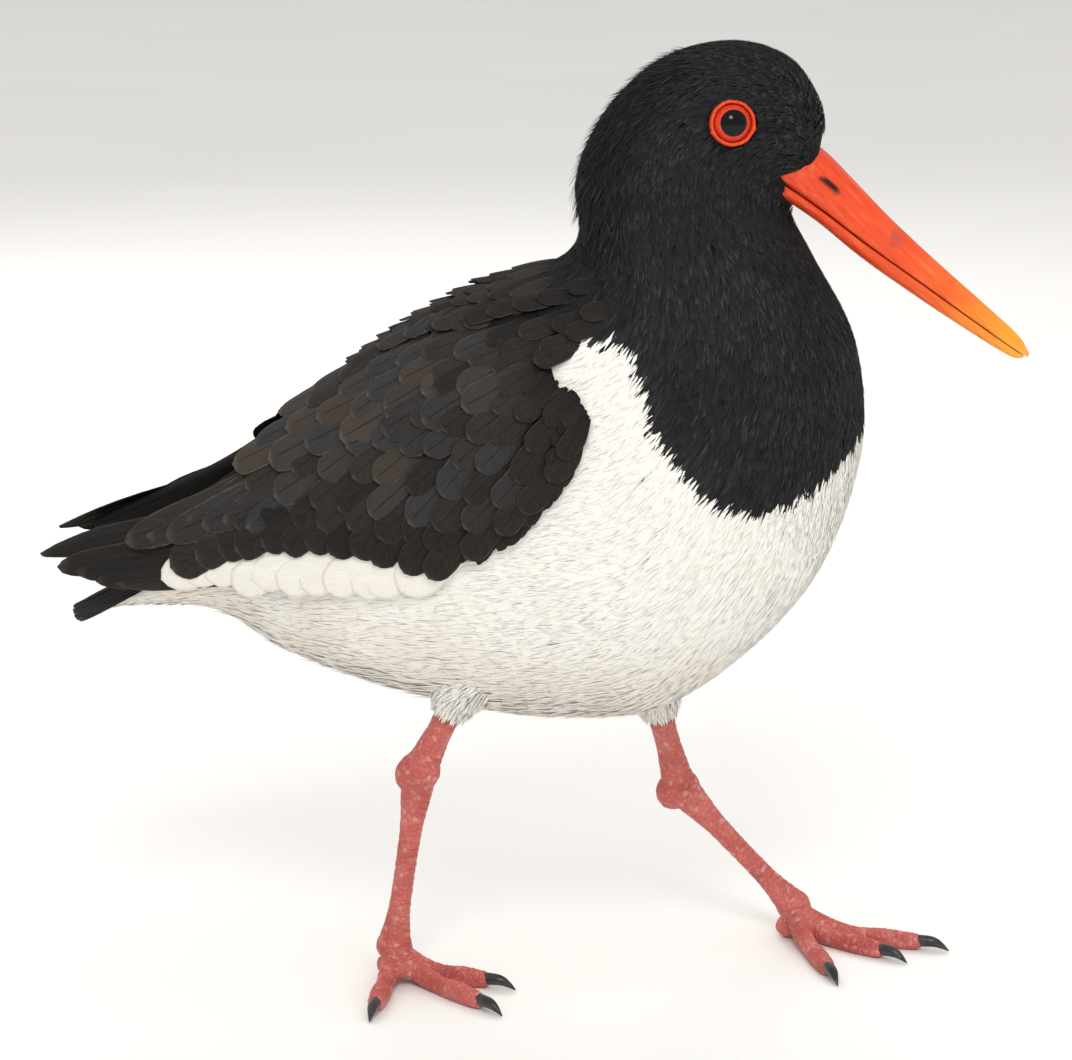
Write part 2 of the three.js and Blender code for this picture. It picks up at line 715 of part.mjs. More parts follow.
function legParts(leg, grownBody) {
  const { hip, cuff, ankle, heel } = leg;
  const down = vector(heel).sub(vector(ankle)).normalize();
  const shin = vector(ankle).sub(vector(cuff)).normalize();
  const drop = vector(cuff).sub(vector(hip)).normalize();
  const bend = shin.clone().add(down).normalize();
  const joint = bend.dot(vector(ankle)) - 1.5;
  const tibia = limb(
    [
      [...mixed(cuff, ankle, -0.1), ...TIBIA_R],
      [...mixed(cuff, ankle, 0.4), TIBIA_R[0] * 0.9, TIBIA_R[1] * 0.92],
      [...mixed(cuff, ankle, 0.8), TIBIA_R[0] * 1.12, TIBIA_R[1]],
      [...ankle, ANKLE_R[0] * 0.86, ANKLE_R[1]],
    ],
    6,
    10,
  );
  const knuckle = ellipsoid(ankle, [ANKLE_R[0], ANKLE_R[1] + 0.2, ANKLE_R[0] * 0.95]);
  const above = joined([tibia, knuckle])
    .trimByPlane(bend.clone().negate().toArray(), -joint + GAP / 2)
    .trimByPlane(drop.toArray(), drop.dot(vector(cuff)) + GAP)
    .subtract(grownBody);
  const below = joined([shank(leg, 10), knuckle])
    .trimByPlane(bend.toArray(), joint + GAP / 2)
    .trimByPlane([0, 0, 1], 0);
  const thigh = limb(
    [
      [...hip, leg.thigh, leg.thigh * 0.9],
      [...mixed(hip, cuff, 0.5), leg.thigh * 0.92, leg.thigh * 0.8],
      [...mixed(hip, cuff, 0.85), CUFF_R * 1.35, CUFF_R * 1.25],
      [...cuff, CUFF_R, CUFF_R],
    ],
    8,
    14,
  );
  return { tibia: largest(above), tarsus: largest(below), thigh: largest(thigh.subtract(grownBody)) };
}

// The whole bird
const bird = new THREE.Group();

function add(name, solid, material) {
  const { vertProperties, triVerts, numProp } = solid.getMesh();
  const geometry = new THREE.BufferGeometry();
  const places = new Float32Array((vertProperties.length / numProp) * 3);
  for (let i = 0; i < places.length / 3; i++)
    places.set(vertProperties.subarray(i * numProp, i * numProp + 3), i * 3);
  geometry.setAttribute("position", new THREE.BufferAttribute(places, 3));
  geometry.setIndex(new THREE.BufferAttribute(triVerts, 1));
  geometry.computeVertexNormals();
  const mesh = new THREE.Mesh(geometry, material);
  mesh.name = name;
  bird.add(mesh);
}

const body = bodySolid();
const grownBody = bodySolid(GAP);
const mouth = joined([mandible(UPPER_BILL, 1, GAP), mandible(LOWER_BILL, -1, GAP)]);
const eyes = { right: eyeParts(-1), left: eyeParts(1) };

add("torso", cutAt(cutAt(body, TAIL_CUT, "front"), NECK_CUT, "rear"), WHITE);
add("neck", cutAt(cutAt(body, NECK_CUT, "front"), HEAD_CUT, "rear"), BLACK);
const skull = cutAt(body, HEAD_CUT, "front");
add("head", largest(skull.subtract(joined([mouth, eyes.right.socket, eyes.left.socket]))), BLACK);
add("bill_upper", upperBill(), BILL);
add("bill_lower", lowerBill(), BILL);
add("tail", tail(body), BLACK);
for (const [name, side, raise] of [["right", -1, 0], ["left", 1, FAR_WING_LIFT]]) {
  add(`eye_${name}`, eyes[name].ball, IRIS);
  add(`eyelid_${name}`, eyes[name].lid, LID);
  add(`wing_${name}`, wing(side, raise, grownBody), BLACK);
  const leg = LEGS[name];
  const parts = legParts(leg, grownBody);
  add(`thigh_${name}`, parts.thigh, WHITE);
  add(`tibia_${name}`, parts.tibia, SHANK);
  add(`tarsus_${name}`, parts.tarsus, SHANK);
  const foot = shank(leg, 6, GAP);
  for (const toe of Object.keys(leg.toes)) {
    const made = toeParts(leg, toe, foot);
    add(`toe_${name}_${toe}`, made.toe, SHANK);
    add(`claw_${name}_${toe}`, made.claw, HORN);
  }
}

// The origin is the middle of the bounding box, on the floor.
const bounds = new THREE.Box3().setFromObject(bird);
bird.position.set(-(bounds.min.x + bounds.max.x) / 2, -(bounds.min.y + bounds.max.y) / 2, -bounds.min.z);

export default bird;
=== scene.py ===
import math

import bpy
import numpy as np
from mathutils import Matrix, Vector, noise


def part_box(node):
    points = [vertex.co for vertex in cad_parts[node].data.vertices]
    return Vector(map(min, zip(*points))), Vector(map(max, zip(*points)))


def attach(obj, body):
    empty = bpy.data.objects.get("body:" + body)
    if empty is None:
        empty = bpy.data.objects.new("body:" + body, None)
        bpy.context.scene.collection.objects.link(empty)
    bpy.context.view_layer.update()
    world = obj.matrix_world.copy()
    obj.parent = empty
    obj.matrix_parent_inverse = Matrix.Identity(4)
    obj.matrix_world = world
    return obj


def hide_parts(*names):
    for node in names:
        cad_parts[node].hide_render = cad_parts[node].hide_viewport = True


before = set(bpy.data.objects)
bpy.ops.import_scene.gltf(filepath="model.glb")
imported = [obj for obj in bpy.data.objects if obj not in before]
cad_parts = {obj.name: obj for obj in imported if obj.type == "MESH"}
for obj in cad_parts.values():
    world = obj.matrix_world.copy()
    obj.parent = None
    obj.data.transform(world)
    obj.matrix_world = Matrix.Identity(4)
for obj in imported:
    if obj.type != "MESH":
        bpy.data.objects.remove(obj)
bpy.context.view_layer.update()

MM = 0.001
BILL_TIP_X = 144.942  # in the solids' own construction; the pack's frame is shifted along X only
SHIFT = np.array([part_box("bill_upper")[1][0] / MM - BILL_TIP_X, 0.0, 0.0])
rng = np.random.default_rng(7)
PI = math.pi

# The solids' own shape, in millimetres.
# Each row: back (x, z), belly (x, z), half width, how much narrower below the middle.
BODY = np.array(
    [
        (-129, 118.5, -131, 113.5, 6, 0),
        (-112, 132, -114, 115, 15, 0),
        (-92, 150, -95, 113.5, 23, 0),
        (-70, 170.5, -75, 102, 33, 0),
        (-48, 189, -52, 93.5, 42, 0),
        (-25, 204.5, -24, 86.5, 47.5, 0),
        (-4, 215.5, 7, 82.5, 49, 0),
        (9, 222.5, 43, 88, 46.5, 0),
        (12.5, 228.5, 80, 121, 41, 0),
        (12.3, 235, 96, 161, 35, 0),
        (11.5, 243.5, 94.5, 196, 28, 0),
        (14.5, 254.5, 81.5, 222, 23.5, 0),
        (22.8, 268, 75.5, 232.5, 21.5, 0.05),
        (37.5, 280.5, 75, 235, 20.5, 0.12),
        (57, 285.2, 76, 236.6, 16.8, 0.33),
        (73.5, 280.5, 77.5, 238, 12.6, 0.2),
        (82.5, 268.5, 79, 239.8, 9.6, 0.05),
        (84.6, 257.5, 80.5, 241.5, 6.8, 0),
    ],
    float,
)
HULL_REAR = np.array(
    [
        (-150, 128, -148, 121, 13, 0),
        (-124, 142, -121, 114, 20, 0),
        (-95, 156, -93, 111, 28, 0),
        (-70, 173, -74, 101, 36, 0),
    ],
    float,
)
TOP_EDGE_ANGLE = 0.24  # no point of a side view is nearer the ridge than this
CORE_UPPER = np.array([(2, 216), (-12, 211), (-38, 197), (-66, 175), (-98, 152), (-136, 133)], float)
CORE_LOWER = np.array([(15, 186), (4, 157), (-28, 145), (-64, 148), (-98, 137), (-137, 126)], float)
PAD_HEIGHT, PAD_DEPTH = 2.7, 1.5  # the wing pad above and below the body's surface
FAR_WING_LIFT = 4.0
COAT_DEPTH = 1.3  # from the solids' surface down to the skin


def spline(table, t):
    """Smooth values of the table's columns at places t."""
    t = np.atleast_1d(np.asarray(t, float))
    last = len(table) - 1
    i = np.clip(np.floor(t).astype(int), 0, last - 1)
    u = (t - i)[:, None]
    b, c = table[i], table[i + 1]
    a = np.where((i > 0)[:, None], table[np.maximum(i - 1, 0)], 2 * b - c)
    d = np.where((i + 2 <= last)[:, None], table[np.minimum(i + 2, last)], 2 * c - b)
    return 0.5 * (2 * b + (c - a) * u + (2 * a - 5 * b + 4 * c - d) * u**2 + (3 * b - 3 * c + d - a) * u**3)


def skin(table, s, a):
    """The fan's surface at place s and signed angle a from the ridge, positive on the left."""
    r = spline(table, s)
    a = np.atleast_1d(np.asarray(a, float))
    up = 0.5 + 0.5 * np.cos(a)
    x = r[:, 2] + (r[:, 0] - r[:, 2]) * up
    z = r[:, 3] + (r[:, 1] - r[:, 3]) * up
    y = np.maximum(r[:, 4], 0.4) * np.sin(a) * (1 + r[:, 5] * np.cos(a))
    return np.stack([x, y, z], 1)


def unit(v):
    return v / np.maximum(np.linalg.norm(v, axis=-1, keepdims=True), 1e-9)


def skin_frame(table, s, a, step=0.01):
    along = (skin(table, s + step, a) - skin(table, s - step, a)) / (2 * step)
    around = (skin(table, s, a + step) - skin(table, s, a - step)) / (2 * step)
    return along, around, unit(np.cross(along, around))


def place_on(table, x, z):
    """The chart place (s, angle) that a side view shows at (x, z)."""
    grid = np.linspace(0, len(table) - 1, (len(table) - 1) * 40 + 1)
    r = spline(table, grid)
    ahead = (r[:, 2] - r[:, 0]) * (z - r[:, 1]) - (r[:, 3] - r[:, 1]) * (x - r[:, 0])
    behind = np.nonzero(ahead < 0)[0]
    k = max(1, behind[0]) if len(behind) else len(grid) - 1
    f = ahead[k - 1] / max(ahead[k - 1] - ahead[k], 1e-9)
    s = grid[k - 1] + min(max(f, 0.0), 1.0) * (grid[k] - grid[k - 1])
    row = spline(table, s)[0]
    down = (z - row[1]) / (row[3] - row[1])
    return s, math.acos(max(-1.0, min(math.cos(TOP_EDGE_ANGLE), 1 - 2 * down)))


# Mesh helpers.
def inward(pts, faces):
    """Whether a closed mesh's faces look inside."""
    c = pts - pts.mean(0)
    volume = 0.0
    for k in range(1, faces.shape[1] - 1):
        a, b, d = c[faces[:, 0]], c[faces[:, k]], c[faces[:, k + 1]]
        volume += (a * np.cross(b, d)).sum()
    return volume < 0


def mesh_object(name, points_mm, faces):
    """A mesh object from millimetre points in the construction frame; faces is an (n, 3 or 4) array."""
    mesh = bpy.data.meshes.new(name)
    pts = (np.asarray(points_mm, float) + SHIFT) * MM
    faces = np.asarray(faces, np.int32)
    if inward(pts, faces):
        faces = np.ascontiguousarray(faces[:, ::-1])
    mesh.vertices.add(len(pts))
    mesh.vertices.foreach_set("co", pts.ravel())
    mesh.loops.add(faces.size)
    mesh.loops.foreach_set("vertex_index", faces.ravel())
    mesh.polygons.add(len(faces))
    mesh.polygons.foreach_set("loop_start", np.arange(0, faces.size, faces.shape[1], dtype=np.int32))
    mesh.update(calc_edges=True)
    mesh.polygons.foreach_set("use_smooth", np.ones(len(faces), bool))
    obj = bpy.data.objects.new(name, mesh)
    bpy.context.scene.collection.objects.link(obj)
    return obj


def attribute(obj, name, values):
    """A colour attribute on the points: four columns."""
    layer = obj.data.attributes.new(name, "FLOAT_COLOR", "POINT")
    layer.data.foreach_set("color", np.asarray(values, np.float32).ravel())


def bake_map(obj, uv_points):
    layer = obj.data.uv_layers.new(name="OFBake")
    index = np.empty(len(obj.data.loops), np.int32)
    obj.data.loops.foreach_get("vertex_index", index)
    layer.data.foreach_set("uv", np.asarray(uv_points, np.float32)[index].ravel())


# Corner orders for the quads between two rings.
AS_MADE, TURNED, REVERSED = (0, 1, 2, 3), (0, 3, 2, 1), (3, 2, 1, 0)


def close_rings(points, rings, sides, order=AS_MADE):
    """Points, quads with their corners in order, and end triangles of a closed stack of rings."""
    i, j = np.meshgrid(np.arange(rings), np.arange(sides), indexing="ij")
    a = i * sides + j
    b = i * sides + (j + 1) % sides
    quads = np.stack([a, b, b + sides, a + sides], -1).reshape(-1, 4)[:, list(order)]
    middles, ends = [], []
    for start in (0, rings * sides):
        k = start + np.arange(sides)
        n = start + (np.arange(sides) + 1) % sides
        pair = [n, k] if (start == 0) == (order == AS_MADE) else [k, n]
        ends.append(np.stack([*pair, np.full(sides, len(points) + len(middles))], 1))
        middles.append(points[start : start + sides].mean(0))
    return np.vstack([points, middles]), quads, np.vstack(ends)


def tube(stops, rings, sides):
    """Points and quads of a closed tube along stops of x, y, z, fore radius, side radius."""
    table = np.array(stops, float)
    last = len(table) - 1
    t = np.linspace(0, last, rings + 1)
    at = spline(table, t)
    before = spline(table, np.maximum(0, t - 0.02))[:, :3]
    after = spline(table, np.minimum(last, t + 0.02))[:, :3]
    run = unit(after - before)
    flat = np.hypot(run[:, 0], run[:, 1])
    level = np.where(
        (flat > 0.75)[:, None],
        unit(np.stack([-run[:, 1], run[:, 0], np.zeros(len(t))], 1)),
        np.array([0.0, 1.0, 0.0]),
    )
    front = unit(np.cross(level, run))
    across = unit(np.cross(run, front))
    turn = np.linspace(0, 2 * PI, sides, endpoint=False)
    ring = (
        at[:, None, :3]
        + at[:, None, 3:4] * front[:, None] * np.cos(turn)[None, :, None]
        + at[:, None, 4:5] * across[:, None] * np.sin(turn)[None, :, None]
    )
    return close_rings(ring.reshape(-1, 3), rings, sides)


def join_parts(parts):
    """One list of points and triangles from (points, quads, triangles) parts."""
    points, tris, base = [], [], 0
    for p, quads, ends in parts:
        points.append(p)
        if len(quads):
            tris += [quads[:, [0, 1, 2]] + base, quads[:, [0, 2, 3]] + base]
        if len(ends):
            tris.append(ends + base)
        base += len(p)
    return np.vstack(points), np.vstack(tris)


def remesh(obj, voxel, rounds):
    """Melts the parts into one smoothed surface; gives its points in millimetres and its normals."""
    made = obj.modifiers.new("Remesh", "REMESH")
    made.mode, made.voxel_size = "VOXEL", voxel
    made = obj.modifiers.new("Smooth", "SMOOTH")
    made.iterations, made.factor = rounds, 0.5
    graph = bpy.context.evaluated_depsgraph_get()
    graph.update()
    mesh = bpy.data.meshes.new_from_object(obj.evaluated_get(graph))
    old = obj.data
    obj.modifiers.clear()
    obj.data = mesh
    bpy.data.meshes.remove(old)
    mesh.polygons.foreach_set("use_smooth", np.ones(len(mesh.polygons), bool))
    read = []
    for key in ("co", "normal"):
        values = np.empty(len(mesh.vertices) * 3)
        mesh.vertices.foreach_get(key, values)
        read.append(values.reshape(-1, 3))
    return read[0] / MM - SHIFT, read[1]


# Materials.
class Nodes:
    """Short calls for building one node material."""

    def __init__(self, name, **sockets):
        self.material = bpy.data.materials.new(name)
        self.material.use_nodes = True
        self.tree = self.material.node_tree
        self.shader = self.tree.nodes["Principled BSDF"]
        for key, value in sockets.items():
            self.shader.inputs[key.replace("_", " ")].default_value = value

    def add(self, kind, inputs=(), **settings):
        node = self.tree.nodes.new("ShaderNode" + kind)
        for key, value in settings.items():
            setattr(node, key, value)
        for key, value in dict(inputs).items():
            if isinstance(value, bpy.types.NodeSocket):
                self.tree.links.new(value, node.inputs[key])
            else:
                node.inputs[key].default_value = value
        return node

    def math(self, operation, a, b=0.0):
        return self.add("Math", {0: a, 1: b}, operation=operation).outputs[0]

    def times(self, a, b):
        return self.math("MULTIPLY", a, b)

    def plus(self, a, b):
        return self.math("ADD", a, b)

    def minus(self, a, b):
        return self.math("SUBTRACT", a, b)

    def channels(self, name):
        """The four columns of a colour attribute."""
        source = self.add("Attribute", attribute_name=name).outputs
        return (*self.add("SeparateColor", {0: source["Color"]}).outputs, source["Alpha"])

    def mix(self, factor, a, b):
        return self.add("Mix", {0: factor, 6: a, 7: b}, data_type="RGBA").outputs[2]

    def ramp(self, factor, stops):
        node = self.add("ValToRGB", {0: factor})
        elements = node.color_ramp.elements
        while len(elements) < len(stops):
            elements.new(0.5)
        for element, (at, colour) in zip(elements, stops):
            element.position = at
            element.color = (*colour, 1) if len(colour) == 3 else colour
        return node.outputs[0]

    def span(self, value, low, high, to_low=0.0, to_high=1.0):
        return self.add("MapRange", {0: value, 1: low, 2: high, 3: to_low, 4: to_high}).outputs[0]

    def place(self):
        return self.add("TexCoord").outputs["Object"]

    def noise(self, scale, vector=None, detail=3.0, rough=0.5):
        inputs = {"Scale": scale, "Detail": detail, "Roughness": rough}
        inputs["Vector"] = vector if vector is not None else self.place()
        return self.add("TexNoise", inputs).outputs[0]

    def link(self, socket, name):
        self.tree.links.new(socket, self.shader.inputs[name])

    def bump(self, height, strength, distance):
        node = self.add("Bump", {"Strength": strength, "Distance": distance, "Height": height})
        self.link(node.outputs[0], "Normal")


def plumage(name):
    """Body feathers: the colour attribute holds dark, tint, place along the tuft and painted shade on the
    white.
    """
    m = Nodes(name, Roughness=0.72, Specular_IOR_Level=0.16)
    dark, tint, along, painted_shade = m.channels("coat")
    patch = m.noise(38.0, detail=2.0)
    black = m.ramp(
        m.plus(m.times(tint, 0.62), m.times(patch, 0.42)),
        [
            (0.0, (0.0050, 0.0045, 0.0047)),
            (0.36, (0.0085, 0.0079, 0.0082)),
            (0.55, (0.0155, 0.0150, 0.0160)),
            (0.74, (0.0320, 0.0320, 0.0355)),
            (1.0, (0.0700, 0.0710, 0.0780)),
        ],
    )
    black = m.mix(m.span(along, 0.3, 1.0, 0.0, 0.22), black, (0.046, 0.046, 0.051, 1))
    black = m.mix(m.span(along, 0.0, 0.4, 0.6, 0.0), black, (0.004, 0.004, 0.0042, 1))
    white = m.ramp(
        m.plus(m.times(tint, 0.5), m.times(patch, 0.5)),
        [
            (0.15, (0.82, 0.785, 0.715)),
            (0.5, (0.89, 0.868, 0.815)),
            (0.85, (0.93, 0.918, 0.88)),
        ],
    )
    # Painted shade: the white greys to beige where the painted shade column is high.
    white = m.mix(m.times(painted_shade, 0.6), white, (0.60, 0.53, 0.43, 1))
    white = m.mix(m.span(along, 0.0, 0.5, 0.15, 0.0), white, (0.66, 0.61, 0.53, 1))
    m.link(m.mix(dark, white, black), "Base Color")
    m.bump(m.noise(1400.0, detail=2.0), 0.3, 0.0004)
    return m.material


def vane_material(name):
    """Large feathers: the attribute holds place across, place along, tint and whiteness."""
    m = Nodes(name, Roughness=0.66, Specular_IOR_Level=0.2)
    out, along, tint, white = m.channels("vane")
    side = m.math("ABSOLUTE", m.minus(m.times(out, 2.0), 1.0))
    slant = m.plus(m.times(along, 34.0), m.times(side, -9.0))
    barb = m.add("CombineXYZ", {0: m.times(side, 1.2), 1: slant, 2: m.times(tint, 40.0)}).outputs[0]
    barbs = m.noise(2.1, barb, detail=4.0, rough=0.62)
    patch = m.noise(60.0, detail=3.0)
    body = m.ramp(
        m.plus(m.times(tint, 0.86), m.times(patch, 0.14)),
        [
            (0.0, (0.0070, 0.0062, 0.0062)),
            (0.3, (0.0110, 0.0095, 0.0090)),
            (0.46, (0.0205, 0.0168, 0.0142)),
            (0.60, (0.0205, 0.0235, 0.0300)),
            (0.72, (0.0300, 0.0285, 0.0285)),
            (0.86, (0.0430, 0.0330, 0.0260)),
            (1.0, (0.0600, 0.0440, 0.0325)),
        ],
    )
    body = m.mix(
        m.times(m.span(barbs, 0.38, 0.72, 0.0, 0.5), m.span(tint, 0.0, 0.7, 0.45, 1.0)), body,
        (0.068, 0.057, 0.047, 1)
    )
    body = m.mix(m.span(along, 0.0, 0.6, 0.65, 0.0), body, (0.0075, 0.0068, 0.0066, 1))
    rim = m.math("MAXIMUM", m.span(side, 0.86, 0.985), m.span(along, 0.95, 0.995))
    rim = m.times(rim, m.span(m.noise(500.0), 0.35, 0.62, 0.25, 0.9))
    body = m.mix(m.times(rim, m.span(tint, 0.0, 0.8, 0.3, 0.75)), body, (0.150, 0.122, 0.098, 1))
    shaft = m.times(m.span(side, 0.03, 0.065, 0.7, 0.0), m.span(along, 0.9, 0.97, 1.0, 0.0))
    body = m.mix(shaft, body, (0.007, 0.006, 0.0058, 1))
    pale = m.mix(m.span(barbs, 0.3, 0.7), (0.89, 0.87, 0.82, 1), (0.78, 0.745, 0.675, 1))
    m.link(m.mix(white, body, pale), "Base Color")
    m.bump(barbs, 0.45, 0.0005)
    return m.material


BILL_ROOT = (0.081, 0.247)  # x and z in metres, in the solids' own construction
BILL_MARK = (104.8, 0, 227.6)


def bill_material():
    m = Nodes("bill", Roughness=0.4, Specular_IOR_Level=0.35, Coat_Weight=0.08, Coat_Roughness=0.25)
    place = m.place()
    x, y, z = m.add("SeparateXYZ", {0: place}).outputs
    root_x = BILL_ROOT[0] + SHIFT[0] * MM
    # Distance down the bill from its root and height over its axis, in metres.
    reach = m.plus(m.times(m.minus(x, root_x), 0.73), m.times(m.minus(BILL_ROOT[1], z), 0.68))
    height = m.plus(m.times(m.minus(x, root_x), 0.68), m.times(m.minus(z, BILL_ROOT[1]), 0.73))
    stretched = m.add("CombineXYZ", {0: m.times(reach, 0.09), 1: y, 2: height}).outputs[0]
    streaks = m.noise(900.0, stretched, detail=5.0, rough=0.6)
    cloud = m.noise(75.0, place, detail=3.0)
    t = m.plus(m.times(reach, 11.2), m.times(m.minus(cloud, 0.5), 0.22))
    colour = m.ramp(
        t,
        [
            (0.0, (0.76, 0.060, 0.014)),
            (0.42, (0.82, 0.082, 0.016)),
            (0.58, (0.86, 0.125, 0.016)),
            (0.70, (0.91, 0.235, 0.017)),
            (0.84, (0.94, 0.345, 0.022)),
            (1.0, (0.92, 0.40, 0.06)),
        ],
    )
    colour = m.mix(m.span(streaks, 0.52, 0.74, 0.0, 0.4), colour, (0.94, 0.26, 0.10, 1))
    colour = m.mix(m.span(streaks, 0.46, 0.28, 0.0, 0.55), colour, (0.46, 0.028, 0.009, 1))
    spot = {0: place, 1: tuple((np.array(BILL_MARK) + SHIFT) * MM)}
    off = m.add("VectorMath", spot, operation="DISTANCE").outputs["Value"]
    chip = m.times(m.span(off, 0.0036, 0.0047, 1.0, 0.0), m.span(streaks, 0.42, 0.58))
    colour = m.mix(m.times(chip, 0.65), colour, (0.16, 0.075, 0.075, 1))
    # Painted shade: the nostril slit and the line where the mandibles meet are darkened by the groove
    # column.
    painted_groove_shade = m.add("Attribute", attribute_name="groove").outputs["Fac"]
    colour = m.mix(painted_groove_shade, colour, (0.016, 0.006, 0.004, 1))
    m.link(colour, "Base Color")
    m.link(m.span(streaks, 0.3, 0.7, 0.3, 0.5), "Roughness")
    m.bump(streaks, 0.28, 0.0005)
    return m.material


def leg_material():
    m = Nodes("leg_skin", Roughness=0.5, Subsurface_Weight=0.08, Subsurface_Scale=0.002)
    place = m.place()
    z = m.add("SeparateXYZ", {0: place}).outputs[2]
    cells = {"Vector": place, "Scale": 620.0, "Randomness": 0.9}
    scales = m.add("TexVoronoi", cells, feature="DISTANCE_TO_EDGE").outputs["Distance"]
    cell = m.add("TexVoronoi", cells).outputs["Color"]
    painted_highlight_pick = m.add("SeparateColor", {0: cell}).outputs[0]
    cloud = m.noise(120.0, place, detail=4.0)
    colour = m.ramp(
        cloud, [(0.25, (0.42, 0.070, 0.058)), (0.5, (0.55, 0.120, 0.100)), (0.75, (0.64, 0.180, 0.150))]
    )
    # Painted highlights: random scale cells lightened to pale pink.
    colour = m.mix(m.times(m.span(painted_highlight_pick, 0.76, 0.97), 0.38), colour, (0.80, 0.44, 0.38, 1))
    colour = m.mix(m.span(z, 0.078, 0.094, 0.0, 0.35), colour, (0.62, 0.19, 0.08, 1))
    crease = m.add("Attribute", attribute_name="crease").outputs["Fac"]
    edge = m.math("MAXIMUM", m.span(scales, 0.0, 0.12, 0.38, 0.0), crease)
    colour = m.mix(edge, colour, (0.17, 0.022, 0.018, 1))
    m.link(colour, "Base Color")
    m.bump(m.plus(m.span(scales, 0.0, 0.3), m.noise(900.0, place, detail=3.0)), 0.45, 0.0005)
    return m.material


def claw_material():
    m = Nodes("claw_horn", Roughness=0.32, Coat_Weight=0.2, Coat_Roughness=0.2)
    tone = m.noise(420.0, detail=4.0)
    m.link(
        m.ramp(
            tone, [(0.3, (0.010, 0.010, 0.011)), (0.6, (0.028, 0.028, 0.030)), (0.85, (0.10, 0.098, 0.10))]
        ),
        "Base Color"
    )
    m.bump(tone, 0.25, 0.0004)
    return m.material


def gloss_material(name, low, high, scale, roughness, specular):
    m = Nodes(name, Roughness=roughness, Specular_IOR_Level=specular)
    tone = m.noise(scale, detail=4.0)
    m.link(m.ramp(tone, [(0.3, low), (0.7, high)]), "Base Color")
    if roughness > 0.2:
        m.bump(tone, 0.3, 0.0004)
    return m.material


COAT = plumage("plumage")
VANES = vane_material("vanes")
BILL = bill_material()
LEG = leg_material()
CLAW = claw_material()
PUPIL, IRIS, LIMBUS, LID = [
    gloss_material(*row)
    for row in (
        ("pupil", (0.002, 0.002, 0.002), (0.004, 0.004, 0.005), 300.0, 0.04, 0.24),
        ("iris", (0.52, 0.026, 0.009), (0.80, 0.075, 0.02), 1500.0, 0.14, 0.4),
        ("limbus", (0.02, 0.004, 0.003), (0.045, 0.007, 0.005), 900.0, 0.25, 0.3),
        ("orbital_ring", (0.62, 0.038, 0.011), (0.84, 0.090, 0.024), 1300.0, 0.45, 0.35),
    )
]


def finish(obj, material, slot, *nodes):
    obj.data.materials.clear()
    obj.data.materials.append(material)
    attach(obj, "root")
    if nodes:
        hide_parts(*nodes)


# Markings.
# The bib's lower edge in the chart: angle from the ridge in degrees and place s, from the shoulder
# to the front.
BIB = np.array(
    [
        (60, 8.07), (71, 7.93), (82, 7.78), (94, 7.81), (101, 7.86), (108, 7.95), (116, 8.07),
        (123, 8.27), (131, 8.46), (139, 8.66), (146, 8.88), (155, 9.05), (165, 9.19), (180, 9.3),
    ],
    float,
)
# The shoulder's white fork lies under this line, in side view (x, z) from the notch to the bib.
FORK = np.array([(5, 194.7), (9.6, 201), (15.7, 203.2), (22.9, 203.8), (29.1, 202.7), (31, 201)], float)
# The folded wing's front and lower edge, in side view, from the notch to the lowest lobe and on to the rear.
WING_EDGE = np.array(
    [
        (5, 194.5), (10, 190.8), (14.5, 188.5), (18.4, 181.6), (15.3, 173.8), (14.5, 169), (8.8, 162.6),
        (4.9, 154.5),
        (-1.5, 149.9), (-8.8, 144.2), (-17.8, 141.5), (-26.5, 136.5), (-32, 137.6), (-37.5, 141.8),
        (-43, 143.7),
        (-49.5, 145), (-55, 144.4), (-62, 143.2), (-71, 142.4), (-84, 136.8), (-92, 135.7), (-104.9, 132),
    ],
    float,
)
BACK_BLACK_TO = 2.4


def wave(p, pitch):
    """A smooth wander in -1 to 1 over the body, the same on both sides."""
    x, z = p[:, 0] * 2 * PI / pitch, p[:, 2] * 2 * PI / pitch
    return 0.5 * np.sin(1.0 * x + 0.7 * z + 0.4) + 0.5 * np.sin(0.6 * z - 1.3 * x + 2.1 + np.sin(0.5 * x))


def wing_lower(x):
    """Height of the folded wing's lower edge, in side view."""
    edge = WING_EDGE[::-1]
    edge = edge[edge[:, 0] < 6]
    return np.interp(x, edge[:, 0], edge[:, 1])


def is_dark(s, a, p):
    a = np.abs(a)
    edge = np.interp(np.degrees(a), BIB[:, 0], BIB[:, 1]) + 0.085 + 0.035 * wave(p, 9) + 0.02 * wave(p, 4)
    over = p[:, 2] > np.interp(p[:, 0], FORK[:, 0], FORK[:, 1]) + 2.0 + 0.8 * wave(p, 7)
    beneath = (p[:, 0] < 2) & (p[:, 2] > wing_lower(p[:, 0]) + 6)
    return (s > edge) | ((over | beneath) & (s > BACK_BLACK_TO))


def painted_belly_shade(p, normal):
    """How much painted shade greys the white to beige: on the belly's underside, where it faces down, the
    undertail and the flank's lower edge.
    """
    under = np.clip(-normal[:, 2] * 1.1 - 0.35, 0, 1)
    low = np.clip((112 - p[:, 2]) / 30, 0, 1) * 0.7
    tail = np.clip((-40 - p[:, 0]) / 70, 0, 1) * 0.75
    ripple = 0.5 + 0.5 * np.sin(p[:, 0] * 0.21 + p[:, 2] * 0.13) * np.sin(
        p[:, 0] * 0.07 - p[:, 2] * 0.19 + 1
    )
    return np.clip(
        (under * 0.6 + low + tail * np.clip((140 - p[:, 2]) / 14, 0, 1)) * (0.45 + 0.55 * ripple), 0, 1
    )


